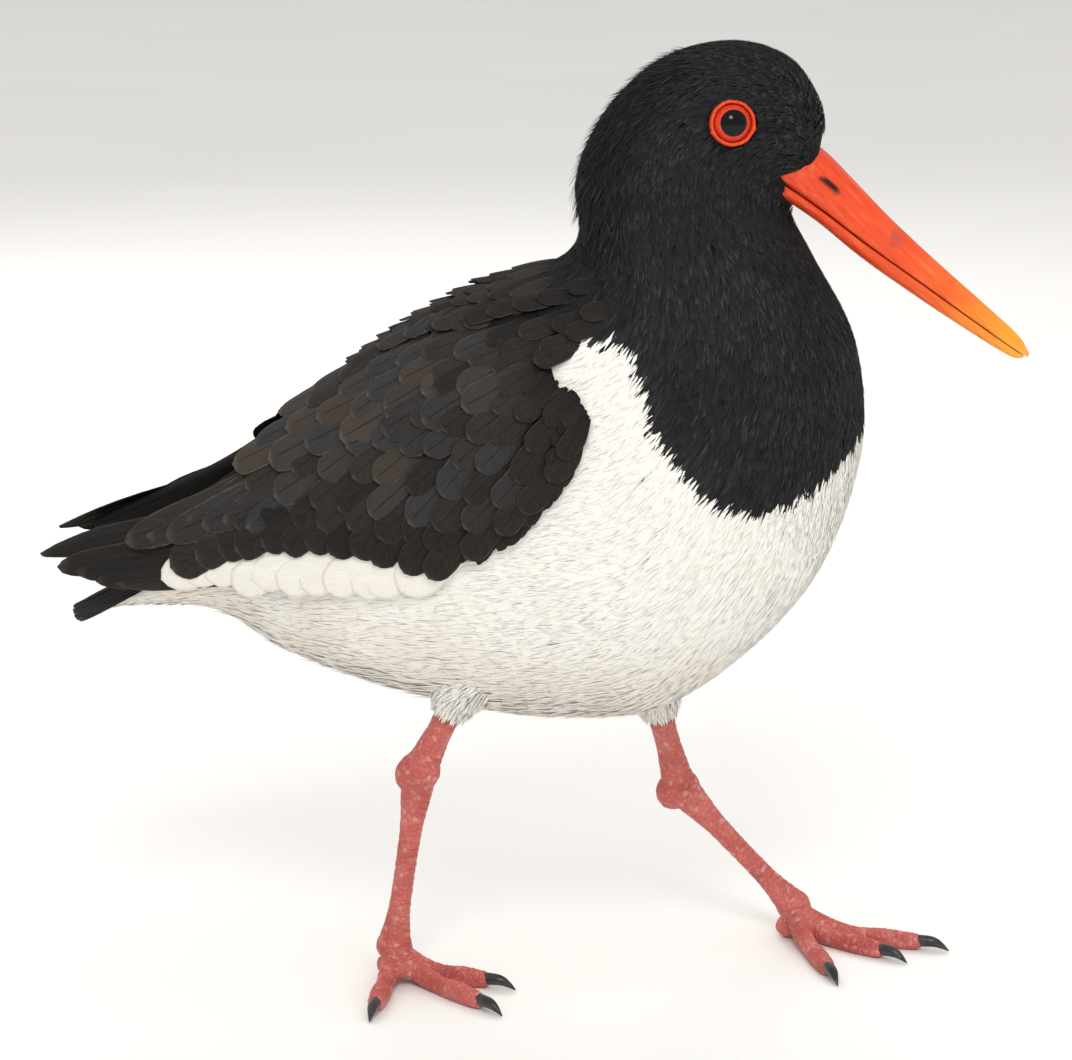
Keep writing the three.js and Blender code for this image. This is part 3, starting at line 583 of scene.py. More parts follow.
# Skin.
def build_skin():
    rings, sides = 170, 96
    s = np.linspace(0, len(BODY) - 1, rings + 1)
    a = np.linspace(-PI, PI, sides, endpoint=False)
    ss, aa = [g.ravel() for g in np.meshgrid(s, a, indexing="ij")]
    points = skin(BODY, ss, aa) - COAT_DEPTH * skin_frame(BODY, ss, aa)[2]
    parts = [close_rings(points, rings, sides, REVERSED)]
    parts += [tube(thigh_stops(leg, -1.5), 16, 32) for leg in LEGS.values()]
    obj = mesh_object("skin", *join_parts(parts))
    p, normal = remesh(obj, 0.0013, 3)
    n = len(p)
    dark = is_dark(*nearest_chart(p), p)
    # The last column is the painted shade that greys the white to beige.
    attribute(obj, "coat", np.stack([dark, np.full(n, 0.3), np.full(n, 0.1), painted_belly_shade(p, normal)], 1))
    finish(obj, COAT, "belly_feathers", "torso", "neck", "head", "thigh_right", "thigh_left")


BATCH = 20000  # points looked at together, to keep the arrays small


def nearest_chart(p):
    """Chart places of points near the body, by the plane of the fan that each lies in."""
    grid = np.linspace(0, len(BODY) - 1, 400)
    back_x, back_z, belly_x, belly_z = spline(BODY, grid)[:, :4].T
    s = np.zeros(len(p))
    for start in range(0, len(p), BATCH):
        x, _, z = p[start : start + BATCH].T[:, :, None]
        ahead = (belly_x - back_x) * (z - back_z) - (belly_z - back_z) * (x - back_x)
        first = np.argmax(ahead < 0, axis=1)
        first = np.where((ahead < 0).any(1), first, len(grid) - 1)
        s[start : start + BATCH] = grid[first]
    row = spline(BODY, s)
    span = row[:, :2] - row[:, 2:4]
    up = ((p[:, [0, 2]] - row[:, 2:4]) * span).sum(1) / (span**2).sum(1)
    return s, np.arccos(np.clip(2 * up - 1, -1, 1)) * np.where(p[:, 1] < 0, -1, 1)


# The legs' numbers.
LEGS = {
    "right": dict(
        hip=(-8, -21, 120), cuff=(-23.2, -20, 90.3), ankle=(-34, -16, 68), heel=(-43, -9, 9.8), thigh=14,
        toes={"inner": (-17, 40), "middle": (-43, 49), "outer": (-94, 41)},
    ),
    "left": dict(
        hip=(30, 21, 112), cuff=(36.3, 23, 78.5), ankle=(43.2, 27, 51), heel=(79.3, 34, 10.6), thigh=15,
        toes={"inner": (-73, 46), "middle": (-33, 42), "outer": (-13, 50)},
    ),
}
TIBIA_R = (4.3, 3.8)
ANKLE_R = (6.4, 4.9)
SHANK_R = (3.35, 2.9)
HEEL_R = (5.6, 5.0)
TOE_R = 3.0
SOLE_CUT = 0.4
CLAW_LENGTH, CLAW_RADIUS, CLAW_DROOP = 8.6, 2.0, 2.1
SHANK_FROM = 14  # above this height the leg's scales face forwards, below it upwards
SCALE_PITCH = (2.3, 1.75)  # on the shank and on the toes


def lerp(a, b, t):
    return tuple(np.array(a, float) + (np.array(b, float) - np.array(a, float)) * t)


def thigh_stops(leg, grow=0.0):
    hip, cuff, r = leg["hip"], leg["cuff"], leg["thigh"]
    return [
        (*hip, r + grow, r * 0.9 + grow),
        (*lerp(hip, cuff, 0.5), r * 0.86 + grow, r * 0.76 + grow),
        (*lerp(hip, cuff, 0.78), 8.6 + grow, 7.9 + grow),
        (*cuff, 5.6 + grow, 5.2 + grow),
    ]


# Coat.
# Leaf outlines: places along the leaf, each with its share of the width.
STRAND = [(0.0, 0.75), (0.5, 1.0), (1.0, 0)]
LONG = [(0.0, 0.7), (0.4, 1.0), (0.78, 0.66), (1.0, 0)]
LEAF = [(0.0, 0.5), (0.4, 0.95), (0.75, 1.0), (0.93, 0.6), (1.0, 0)]
SECTION, TIP = ((-1, 0.0), (0, 1.0), (1, 0.0)), ((0, 0.0),)
STRAND_THICK, SOFTEN = 0.09, 0.3


def chart_step(along, around, way):
    """How fast the chart's s and a change along a direction in the surface."""
    aa, bb, ab = (along**2).sum(1), (around**2).sum(1), (along * around).sum(1)
    wa, wb = (way * along).sum(1), (way * around).sum(1)
    det = aa * bb - ab**2
    return (wa * bb - wb * ab) / det, (wb * aa - wa * ab) / det


def leaf_row(rows, t, share, centre, across, nor, width, thick, dark, tint, painted_shade, u, v):
    """Adds one cross-section of every leaf: three points, or the tip's one."""
    for k, rise in SECTION if share else TIP:
        at = centre + across * (0.5 * width * share * k)[:, None] + nor * (thick * rise)[:, None]
        coat = np.stack([dark, tint, np.full(len(tint), t), painted_shade], 1)
        uv = np.stack([u + 0.003 * (t - 0.5), v + 0.0015 * k], 1)
        rows.append((at, unit(nor + SOFTEN * k * across), coat, uv))


def leaf_mesh(name, rows, slot):
    """One piece from the rows, with its markings and bake map."""
    points, soft, coat, uv = [np.stack(column, 1) for column in zip(*rows)]
    n, count = points.shape[:2]
    tip = count - 1
    faces = [(0, 2, 1)]
    for o in range(0, tip - 3, 3):
        faces += [(o, o + 1, o + 4), (o, o + 4, o + 3), (o + 1, o + 2, o + 5), (o + 1, o + 5, o + 4)]
        faces += [(o + 2, o, o + 3), (o + 2, o + 3, o + 5)]
    faces += [(tip - 3, tip - 2, tip), (tip - 2, tip - 1, tip), (tip - 1, tip - 3, tip)]
    faces = (np.arange(n)[:, None, None] * count + np.array(faces)[None]).reshape(-1, 3)
    obj = mesh_object(name, points.reshape(-1, 3), faces)
    attribute(obj, "coat", coat.reshape(-1, 4))
    bake_map(obj, uv.reshape(-1, 2))
    # Shaded mostly as the body's own surface, so the coat looks soft.
    obj.data.normals_split_custom_set_from_vertices(soft.reshape(-1, 3).tolist())
    finish(obj, COAT, slot)


def tufts(name, roots_s, roots_a, length, width, lift, swerve, rings, bump_out, slot, sink):
    """Closed leaves lying along the body towards the tail, turned by swerve."""
    along, around, normal = skin_frame(BODY, roots_s, roots_a)
    down = -unit(along)
    side = unit(np.cross(normal, down))
    lie = unit(down * np.cos(swerve)[:, None] + side * np.sin(swerve)[:, None])
    ds, da = chart_step(along, around, lie)
    root = skin(BODY, roots_s, roots_a)
    for _ in range(7):
        tip = root + lie * length[:, None]
        length = np.where(eye_distance(tip) < EYE_CLEAR, length * 0.72, length)
    dark = is_dark(roots_s, roots_a, root).astype(float)
    # Painted shade on the white, strongest where the body faces down.
    painted_shade = painted_belly_shade(root, normal)
    tint = rng.beta(2.0, 2.6, len(roots_s))
    u = 0.03 + 0.94 * roots_s / (len(BODY) - 1)
    v = 0.03 + 0.94 * (roots_a + PI) / (2 * PI)
    rows = []
    for t, share in rings:
        s = np.clip(roots_s + ds * length * t, 0.02, len(BODY) - 1.02)
        a = roots_a + da * length * t
        _, _, nor = skin_frame(BODY, s, a)
        run = unit(lie - (lie * nor).sum(1)[:, None] * nor)
        height = -sink * (1 - t) ** 1.5 + lift * length * t**1.4 + bump_out
        centre = skin(BODY, s, a) + nor * height[:, None]
        thick = STRAND_THICK * width * max(share, 0.25)
        leaf_row(
            rows, t, share, centre, unit(np.cross(nor, run)), nor, width, thick, dark, tint, painted_shade, u, v
        )
    leaf_mesh(name, rows, slot)


def scatter(low, high, side, spacing, candidates):
    """Evenly spread chart places between two rows on one side: one in each small cell of space."""
    s = rng.uniform(low, high, candidates)
    a = rng.uniform(0, PI, candidates) * side
    along, around, _ = skin_frame(BODY, s, a)
    area = np.linalg.norm(np.cross(along, around), axis=1)
    take = rng.uniform(0, np.percentile(area, 99), candidates) < area
    s, a = s[take], a[take]
    p = skin(BODY, s, a)
    good = bill_clear(p) & ~under_wing(p) & (eye_distance(p) > EYE_CLEAR)
    s, a, p = s[good], a[good], p[good]
    cell = np.floor((p + 500) / spacing).astype(np.int64)
    key = (cell[:, 0] * 4096 + cell[:, 1]) * 4096 + cell[:, 2]
    _, first = np.unique(key, return_index=True)
    return s[first], a[first]


EYE_MIDDLE = (57.6, 262.9)  # side view (x, z)
EYE_CLEAR = 6.95  # no feather starts or ends nearer the eye than this
# Where the feathers end against the bill: side view (x, z), from the chin to the culmen.
BILL_EDGE = np.array(
    [
        (79.5, 231), (78.6, 234.5), (72.0, 239.6), (73.2, 243.1), (69.7, 247.2), (76.0, 248.2),
        (79.2, 250.2), (82.2, 255.2), (84.8, 258.6)
    ],
    float,
)


def eye_distance(p):
    """Distance from the eyes' middle in side view, far away for what isn't on the head."""
    return np.hypot(p[:, 0] - EYE_MIDDLE[0], p[:, 2] - EYE_MIDDLE[1]) + 50 * (np.abs(p[:, 1]) < 9)


def bill_clear(p):
    edge = np.interp(p[:, 2], BILL_EDGE[:, 1], BILL_EDGE[:, 0])
    return (p[:, 0] < edge - 0.25) | (p[:, 2] < 232) | (p[:, 2] > 258.6)


def under_wing(p):
    """Covered by the folded wing, well inside its edge."""
    upper = np.interp(p[:, 0], CORE_UPPER[::-1, 0], CORE_UPPER[::-1, 1])
    inside = (p[:, 0] > -130) & (p[:, 0] < 1) & (np.abs(p[:, 1]) > 8)
    return inside & (p[:, 2] < upper - 4) & (p[:, 2] > wing_lower(p[:, 0]) + 9)


# zone: rows from and to, spacing, candidates, length range, width, lift, turn, rings
ZONES = {
    "head": (10.6, 16.95, 0.78, 260000, (3.0, 4.8), 0.50, 0.035, 0.17, STRAND),
    "neck": (8.3, 10.6, 1.0, 130000, (4.6, 6.8), 0.66, 0.032, 0.15, STRAND),
    "breast": (5.6, 8.3, 1.1, 170000, (5.6, 8.0), 0.85, 0.012, 0.12, STRAND),
    "belly": (0.05, 5.6, 1.26, 170000, (6.6, 9.6), 1.0, 0.012, 0.12, LONG),
}


def build_coat():
    for zone, (low, high, spacing, count, span, width, lift, turn, rings) in ZONES.items():
        black = zone in ("head", "neck")
        slot, sink = ("black_feathers", 0.75) if black else ("belly_feathers", 0.34)
        for side, tag in ((-1, "right"), (1, "left")):
            s, a = scatter(low, high, side, spacing, count)
            n = len(s)
            face = np.clip((s - 13.6) / 2.6, 0, 1)
            length = rng.uniform(*span, n) * (1 - 0.55 * face)
            wide = width * rng.uniform(0.7, 1.3, n) * (1 - 0.3 * face)
            rise = lift * rng.uniform(0.3, 1.8, n)
            # Looser tips on the nape and along the belly's lower line.
            nape = (s > 9.2) & (s < 13.4) & (np.abs(a) < 0.9) & (rng.uniform(0, 1, n) < 0.22)
            belly = (s < 7) & (np.abs(a) > 2.5) & (rng.uniform(0, 1, n) < 0.12)
            loose = rise + rng.uniform(0.12, 0.34, n)
            rise = np.where(nape, loose, np.where(belly, rise + rng.uniform(0.04, 0.14, n), rise))
            length = np.where(nape, length * 1.35, np.where(belly, length * 1.15, length))
            out = rng.uniform(-0.14, 0.14, n)
            tufts(
                f"coat_{zone}_{tag}", s, a, length, wide, rise, rng.normal(0, turn, n), rings, out, slot,
                sink
            )
            # Broad leaves beneath, so that no skin shows through.
            s, a = scatter(low, high, side, spacing * 2.6, count // 5)
            n = len(s)
            length = rng.uniform(*span, n) * 1.2 * (1 - 0.5 * np.clip((s - 13.6) / 2.6, 0, 1))
            swerve = rng.normal(0, turn, n)
            out = rng.uniform(-0.35, -0.15, n)
            wide, rise = np.full(n, width * 3.6), np.full(n, lift * 0.4)
            tufts(f"under_{zone}_{tag}", s, a, length, wide, rise, swerve, LEAF, out, slot, sink)


# Wing and tail feathers.
def wing_hull(raised):
    rear = HULL_REAR.copy()
    up = raised * (1 - np.arange(len(rear)) / len(rear))
    rear[:, 1] += up
    rear[:, 3] += up
    return np.vstack([rear, BODY[4:11]])


def between(table, start, end, flip):
    """A function that puts (t, across, height) on the surface between two chart places."""
    (s0, a0), (s1, a1) = start, end

    def place(t, across, height):
        s = s0 + (s1 - s0) * t
        a = a0 + (a1 - a0) * t
        along, around, normal = skin_frame(table, s, a)
        run = along * (s1 - s0) + around * (a1 - a0)
        wide = unit(np.cross(normal, run)) * (across * flip)[:, None]
        ds, da = chart_step(along, around, wide)
        s, a = s + ds, a + da
        _, _, normal = skin_frame(table, s, a)
        return skin(table, s, a) + normal * height[:, None]

    return place


def on_hull(hull, side, root, tip):
    s0, a0 = place_on(hull, *root)
    s1, a1 = place_on(hull, *tip)
    return between(hull, (s0, a0 * side), (s1, a1 * side), side)


VANE_ROWS, VANE_COLS = 14, 9


def vane(place, width, lift, sunk, roll, tip_share):
    """Points, faces and attribute columns of one closed feather."""
    t = 1 - (1 - np.linspace(0, 1, VANE_ROWS)) ** 1.6
    past = np.clip((t - (1 - tip_share)) / tip_share, 0, 1)
    shape = np.maximum(np.minimum(1, 0.3 + 1.7 * t) * np.sqrt(1 - past**2), 0.05)
    v = np.linspace(-1, 1, VANE_COLS)
    tt, vv = [g.ravel() for g in np.meshgrid(t, v, indexing="ij")]
    ww = np.repeat(shape, VANE_COLS)
    bend = 0.05 * width * rng.normal()
    across = 0.5 * width * ww * vv * (1 - rng.uniform(0, 0.07, len(tt)) * (np.abs(vv) > 0.9)) + bend * tt**2
    ridge = sunk + (lift - sunk) * tt**0.8
    top = ridge + 0.25 * (1 - np.abs(vv)) - 0.32 * vv**2 + roll * vv * np.minimum(1, ww + 0.2)
    thick = 0.3 - 0.14 * tt
    upper = place(tt, across, top)
    under = place(tt, across, top - thick)
    n = len(tt)
    i, j = np.meshgrid(np.arange(VANE_ROWS - 1), np.arange(VANE_COLS - 1), indexing="ij")
    a = (i * VANE_COLS + j).ravel()
    quads = np.stack([a, a + 1, a + VANE_COLS + 1, a + VANE_COLS], 1)
    below = quads[:, ::-1] + n
    edges = []
    for k in (0, VANE_COLS - 1):
        e = np.arange(VANE_ROWS - 1) * VANE_COLS + k
        ring = np.stack([e, e + VANE_COLS, e + VANE_COLS + n, e + n], 1)
        edges.append(ring if k == 0 else ring[:, ::-1])
    for k in (0, (VANE_ROWS - 1) * VANE_COLS):
        e = k + np.arange(VANE_COLS - 1)
        ring = np.stack([e + 1, e, e + n, e + 1 + n], 1)
        edges.append(ring if k == 0 else ring[:, ::-1])
    points = np.vstack([upper, under])
    faces = np.vstack([quads, below, *edges])
    if inward(points, faces):
        faces = faces[:, ::-1]
    return points, faces, np.tile(np.stack([0.5 + 0.5 * vv, tt], 1), (2, 1))


class Feathers:
    """Collects vanes into one piece, each with a cell of the bake map."""

    def __init__(self, name, cells):
        self.name, self.cells = name, cells
        self.points, self.faces, self.values, self.uv = [], [], [], []
        self.base = 0
        self.count = 0

    def add(self, place, width, length, lift, sunk, roll, tint, white, tip_share=None):
        share = min(0.42, max(0.14, 0.55 * width / length)) if tip_share is None else tip_share
        points, faces, coords = vane(place, width, lift, sunk, roll, share)
        self.points.append(points)
        self.faces.append(faces + self.base)
        n = len(points)
        pale = white(coords[:, 1]) if callable(white) else np.full(n, white)
        self.values.append(np.stack([coords[:, 0], coords[:, 1], np.full(n, tint), pale], 1))
        size = 1 / self.cells
        cx, cy = self.count % self.cells, self.count // self.cells
        half = np.arange(n) >= n // 2
        u = (cx + 0.06 + 0.4 * coords[:, 0] + 0.46 * half) * size
        v = (cy + 0.06 + 0.88 * coords[:, 1]) * size
        self.uv.append(np.stack([u, v], 1))
        self.base += n
        self.count += 1

    def build(self, *nodes):
        obj = mesh_object(self.name, np.vstack(self.points), np.vstack(self.faces))
        attribute(obj, "vane", np.vstack(self.values))
        bake_map(obj, np.vstack(self.uv))
        finish(obj, VANES, "black_feathers", *nodes)


# name, count, first tip, last tip, arch, lengths, widths, slopes, lifts, sunk, tints, white, roll
TIERS = [
    ("primaries", 6, (-118, 127), (-146, 128.5), 0, (48, 86), (7.5, 9), (6, 15), (1.8, 3.4), 0.8,
     (0.0, 0.25), 0, 0.5),
    ("secondaries", 11, (-36, 131), (-108, 130), 0.5, (40, 50), (13, 10), (48, 30), (2.6, 2.9), 0.9,
     (0.3, 0.6), 1, 0.3),
    ("greater", 12, (-27, 136), (-104, 132.5), 7.5, (34, 38), (9.5, 9.5), (55, 34), (4.0, 4.4), 1.2,
     (0.0, 0.42), 0, 0.5),
    ("median_low", 10, (-16, 142), (-92, 143.5), 5, (26, 31), (9, 9.5), (55, 36), (4.4, 4.8), 1.8,
     (0.0, 0.62), 0, 0.5),
    ("median", 9, (-6, 149), (-80, 153), 2, (23, 30), (8.8, 9.5), (55, 38), (4.8, 5.2), 2.0, (0.1, 0.9), 0,
     0.5),
    ("lesser_low", 9, (1, 156), (-66, 161), 2, (19, 27), (8.2, 9.5), (54, 39), (5.0, 5.6), 2.2,
     (0.15, 1.05), 0, 0.5),
    ("lesser", 8, (6, 163.5), (-50, 169), 2, (17, 25), (7.6, 9.5), (52, 38), (5.2, 5.8), 2.3, (0.2, 1.1), 0,
     0.45),
    ("lesser_top", 7, (8, 171.5), (-38, 177), 1, (15, 23), (7, 9), (50, 36), (5.3, 6.0), 2.4, (0.2, 1.1), 0,
     0.45),
    ("lesser_edge", 5, (7, 180), (-24, 184), 0.5, (12, 20), (6.2, 8.6), (48, 34), (5.2, 6.0), 2.4,
     (0.2, 0.9), 0, 0.4),
    ("tertials", 7, (-82, 147), (-118, 136.5), 0, (50, 62), (10.5, 10), (37, 29), (5.0, 5.8), 1.8,
     (0.45, 0.85), 0, 0.5),
    ("scapulars_low", 8, (-6, 186), (-84, 157), 0, (24, 42), (9.5, 12), (38, 33), (6.0, 6.6), 2.4,
     (0.5, 1.15), 0, 0.5),
    ("scapulars", 9, (2, 195.5), (-78, 164), 0, (15, 40), (6.6, 12), (33, 34), (5.4, 6.8), 2.3, (0.5, 1.15),
     0, 0.45),
    ("scapulars_top", 10, (12, 203), (-71, 171), 0, (12, 38), (5.8, 11.5), (27, 35), (4.6, 6.9), 2.3,
     (0.35, 1.1), 0, 0.4),
    ("mantle_edge", 10, (15, 208.5), (-62, 179), 0.5, (11, 34), (5.6, 11), (23, 36), (4.4, 6.8), 2.3,
     (0.1, 0.9), 0, 0.25),
    ("mantle_top", 9, (11, 215), (-50, 189), 0.5, (10, 30), (5.6, 10.5), (21, 36), (4.2, 6.8), 2.3,
     (0.1, 0.75), 0, 0.1),
]
HIGH_TIERS = ("scapulars", "scapulars_top", "mantle_edge", "mantle_top")


def in_wing(x, z):
    """Behind the wing's front edge, in side view."""
    front = WING_EDGE[:12][::-1]
    return x < np.interp(z, front[:, 1], front[:, 0]) if z < 194.5 else x < 4


def build_wing(name, side, raised):
    hull = wing_hull(raised)
    # The pad under the feathers.
    rows, cols = 60, 24
    t = np.linspace(0.05, 1, rows + 1)
    upper = spline(CORE_UPPER, t * (len(CORE_UPPER) - 1))
    lower = spline(CORE_LOWER, t * (len(CORE_LOWER) - 1))
    ss, aa, rim, tt, zz = [], [], [], [], []
    for i in range(rows + 1):
        lift = raised * t[i] ** 2
        s0, a0 = place_on(hull, upper[i, 0], upper[i, 1] + lift)
        s1, a1 = place_on(hull, lower[i, 0], lower[i, 1] + lift)
        for j in range(cols + 1):
            v = j / cols
            inset = 0.03 + 0.9 * v * (1 - 0.12 * (t[i] < 0.3))
            ss.append(s0 + (s1 - s0) * inset)
            aa.append((a0 + (a1 - a0) * inset) * side)
            rim.append(min(1, 5 * t[i] + 0.1, 6 * v + 0.1, 6 * (1 - v) + 0.1, 6 * (1 - t[i]) + 0.3))
            tt.append(t[i])
            zz.append(v)
    ss, aa, rim, tt, zz = map(np.array, (ss, aa, rim, tt, zz))
    _, _, normal = skin_frame(hull, ss, aa)
    base = skin(hull, ss, aa)
    points = np.vstack([base + normal * (PAD_HEIGHT * rim)[:, None], base - normal * PAD_DEPTH])
    n, step = len(ss), cols + 1
    i, j = np.meshgrid(np.arange(rows), np.arange(cols), indexing="ij")
    a = (i * step + j).ravel()
    top = np.stack([a, a + 1, a + cols + 2, a + step], 1)
    faces = [top, top[:, ::-1] + n]
    down, over = np.arange(rows) * step, np.arange(cols)
    last = over + rows * step
    for e, f in (
        (down, down + step), (down + cols + step, down + cols), (over + 1, over), (last, last + 1)
    ):
        faces.append(np.stack([e, f, f + n, e + n], 1))
    faces = np.vstack(faces)
    if side > 0:
        faces = faces[:, ::-1]
    pad = mesh_object(f"wing_pad_{name}", points, faces)
    white = (zz > 0.86) & (tt > 0.3) & (tt < 0.9)
    coat = np.stack([~white, np.full(n, 0.2), np.full(n, 0.2), np.zeros(n)], 1)
    attribute(pad, "coat", np.tile(coat, (2, 1)))
    finish(pad, COAT, "black_feathers")

    group = Feathers(f"wing_feathers_{name}", 15)

    def feather(tip, length, slope, width, lift, sunk, roll, tint, white, free, share=None):
        reach = 1.0
        while not free and reach > 0.3 and not in_wing(
            tip[0] + reach * length * math.cos(slope), tip[1] + reach * length * math.sin(slope)
        ):
            reach -= 0.05
        length *= reach
        root = (tip[0] + length * math.cos(slope), tip[1] + length * math.sin(slope))
        width *= 0.45 + 0.55 * reach
        if free:
            front = min(1, max(0, (root[0] + 14) / 26))
            sunk = sunk * (1 - front) - 1.4 * front
            lift -= 1.6 * min(1, max(0, (tip[0] + 22) / 30))
            lift -= 1.5 if side > 0 else 0.0
        group.add(on_hull(hull, side, root, tip), width, length, lift, sunk, roll, tint, white, share)

    for tier, count, first, last, arch, lengths, widths, slopes, lifts, sunk, tints, white, roll in TIERS:
        for i in range(count):
            u = i / (count - 1)
            x = first[0] + (last[0] - first[0]) * u + rng.normal(0, 0.7)
            z = first[1] + (last[1] - first[1]) * u + arch * math.sin(PI * u) + rng.normal(0, 0.6)
            back = max(0.0, -(x + 60) / 90)
            z += raised * back * back * (tier not in HIGH_TIERS)
            length = lengths[0] + (lengths[1] - lengths[0]) * u
            slope = math.radians(slopes[0] + (slopes[1] - slopes[0]) * u + rng.normal(0, 2))
            width = (widths[0] + (widths[1] - widths[0]) * u) * rng.uniform(0.93, 1.07)
            lift = lifts[0] + (lifts[1] - lifts[0]) * u + rng.normal(0, 0.1)
            share = 0.3 if tier in ("primaries", "tertials") else None
            tint = 0.9 * rng.uniform(*tints) * (1 - 0.75 * min(1, max(0, (x + 26) / 34)))
            feather(
                (x, z), length, slope, width, lift, sunk, roll, tint, float(white), tier in HIGH_TIERS,
                share
            )
    # Small feathers round the wing's front edge, then ragged ones hanging over the white.
    front = WING_EDGE[:12]
    for row, inset in enumerate((6.5, 3.5)):
        count = 26 - 2 * row
        for i in range(count):
            place = i / (count - 1) * 7.6
            p = spline(front, place)[0]
            run = spline(front, place + 0.1)[0] - p
            turn = math.atan2(run[1], run[0]) - PI / 2
            tip = (p[0] + inset * math.cos(turn) - 1.0, p[1] + inset * math.sin(turn) - 2.0)
            slope = math.radians(rng.normal(46, 6))
            feather(
                tip, rng.uniform(6.5, 9.0), slope, rng.uniform(3.6, 4.8), rng.uniform(4.2, 4.8) - 1.2 * row,
                1.6, 0.2, rng.uniform(0.0, 0.45), 0.0, False
            )
    for i in range(34):
        p = spline(front, 5.4 + i / 33 * 5.6)[0]
        tip = (p[0] + rng.normal(0.3, 0.8), p[1] + rng.normal(-0.3, 0.9))
        slope = math.radians(64 - 14 * i / 33 + rng.normal(0, 5))
        length = rng.uniform(12, 17)
        root = (tip[0] + length * math.cos(slope) * 0.6 - 1.5, tip[1] + length * math.sin(slope))
        group.add(
            on_hull(hull, side, root, tip), rng.uniform(3.6, 5.6), length, rng.uniform(1.6, 3.4), 1.2, 0.2,
            rng.uniform(0.0, 0.3), 0.0, 0.5
        )
    group.build(f"wing_{name}")


# Along the ridge from the rump, in millimetres: the tips' first and last place, and the feathers' height.
MANTLE_FROM, MANTLE_TO = 14, 108
MANTLE_HEIGHTS = ([0, 30, 55, 95, 112, 120], [2.0, 5.0, 6.6, 6.2, 3.0, 1.4])


def build_mantle():
    """The back's feathers between the wings, black down to the white rump."""
    group = Feathers("mantle_feathers", 16)
    grid = np.linspace(2.0, 9.0, 200)
    ridge = skin(BODY, grid, np.zeros(200))
    arc = np.concatenate([[0], np.cumsum(np.linalg.norm(np.diff(ridge, axis=0), axis=1))])
    high = np.interp(arc, *MANTLE_HEIGHTS)
    rows, cols = 16, 9
    for i in range(rows):
        share = i / (rows - 1)
        at = MANTLE_FROM + (MANTLE_TO - MANTLE_FROM) * i / (rows - 1)
        length = 27 - 13 * share
        wide = cols + 4 * (share < 0.55) + i % 2
        for j in range(wide):
            angle = (j - (wide - 1) / 2) * 0.105 + rng.normal(0, 0.012)
            tip_at = at + rng.normal(0, 1.0)
            start = (np.interp(tip_at + length, arc, grid), angle * (0.92 - 0.1 * share))
            end = (np.interp(tip_at, arc, grid), angle)
            fade = 1 - 0.25 * min(1, abs(angle) / 0.5)
            height = float(np.interp(tip_at, arc, high)) * fade + rng.normal(0, 0.12)
            width, roll, tint = 9.6 - 3.4 * share, 0.25 * np.sign(angle), rng.uniform(0.0, 0.55)
            group.add(between(BODY, start, end, 1), width, length, height, -0.4, roll, tint, 0.0)
    group.build()


TAIL_ROOT, TAIL_TIP, TAIL_COUNT = (-97, 136.5), (-141, 113.0), 12  # side view (x, z)


def build_tail():
    root, tip = np.array(TAIL_ROOT), np.array(TAIL_TIP)
    length = np.hypot(*(tip - root))
    run = np.array([(tip - root)[0], 0, (tip - root)[1]]) / length
    up = unit(np.array([run[2], 0, -run[0]]))
    group = Feathers("tail_feathers", 4)
    for i in range(TAIL_COUNT):
        turn = 2 * i / (TAIL_COUNT - 1) - 1
        yaw = math.radians(9 * turn)

        def place(t, across, height, turn=turn, yaw=yaw):
            reach = length * t * (1 - 0.06 * turn * turn)
            flat = np.array([root[0], 0, root[1]])[None] + np.outer(
                reach * math.cos(yaw) - across * math.sin(yaw), run
            )
            flat = flat + np.outer(height - abs(turn) * 3.0, up)
            flat[:, 1] += 7 * turn + reach * math.sin(yaw) + across * math.cos(yaw)
            return flat

        roll, tint = -0.4 * np.sign(turn), rng.uniform(0.0, 0.3)
        group.add(
            place, 9.0, length, 0.4, 0.4, roll, tint, lambda t: 1 - np.clip((t - 0.5) / 0.04, 0, 1), 0.2
        )
    group.build("tail")


# Bill.
UPPER_BILL = np.array(
    [
        (78, 257.5, 64, 251.4, 13.4), (84.5, 253.2, 74, 243.4, 8.7), (92, 245.8, 83.5, 236.6, 5.9),
        (104, 233.6, 97.2, 226.2, 4.2),
        (118, 220.8, 113.4, 214.8, 3.2), (132, 208.6, 129.2, 203.6, 2.3), (141.5, 200, 140.4, 195.8, 1.5),
        (145, 194.6, 144.4, 193.4, 0.6),
    ],
    float,
)
LOWER_BILL = np.array(
    [
        (63, 249.8, 69.4, 241.2, 12.8), (74, 243.4, 75, 237.6, 7.6), (83.5, 236.6, 83, 232, 5.3),
        (97.2, 226.2, 95.7, 221.8, 3.9),
        (113.4, 214.8, 111.6, 210.8, 3.0), (129.2, 203.6, 128, 200.2, 2.2), (140, 196.1, 139.2, 193.6, 1.4),
        (143.4, 193.9, 143, 193, 0.6),
    ],
    float,
)
BILL_PROFILE = np.array(
    [(0, 1), (0.5, 0.82), (0.82, 0.36), (0.98, -0.3), (0.94, -0.92), (0.4, -1), (0, -1.0)], float
)

NOSTRIL, NOSTRIL_RUN = (85.6, 244.0), (0.755, -0.656)  # middle and direction in side view


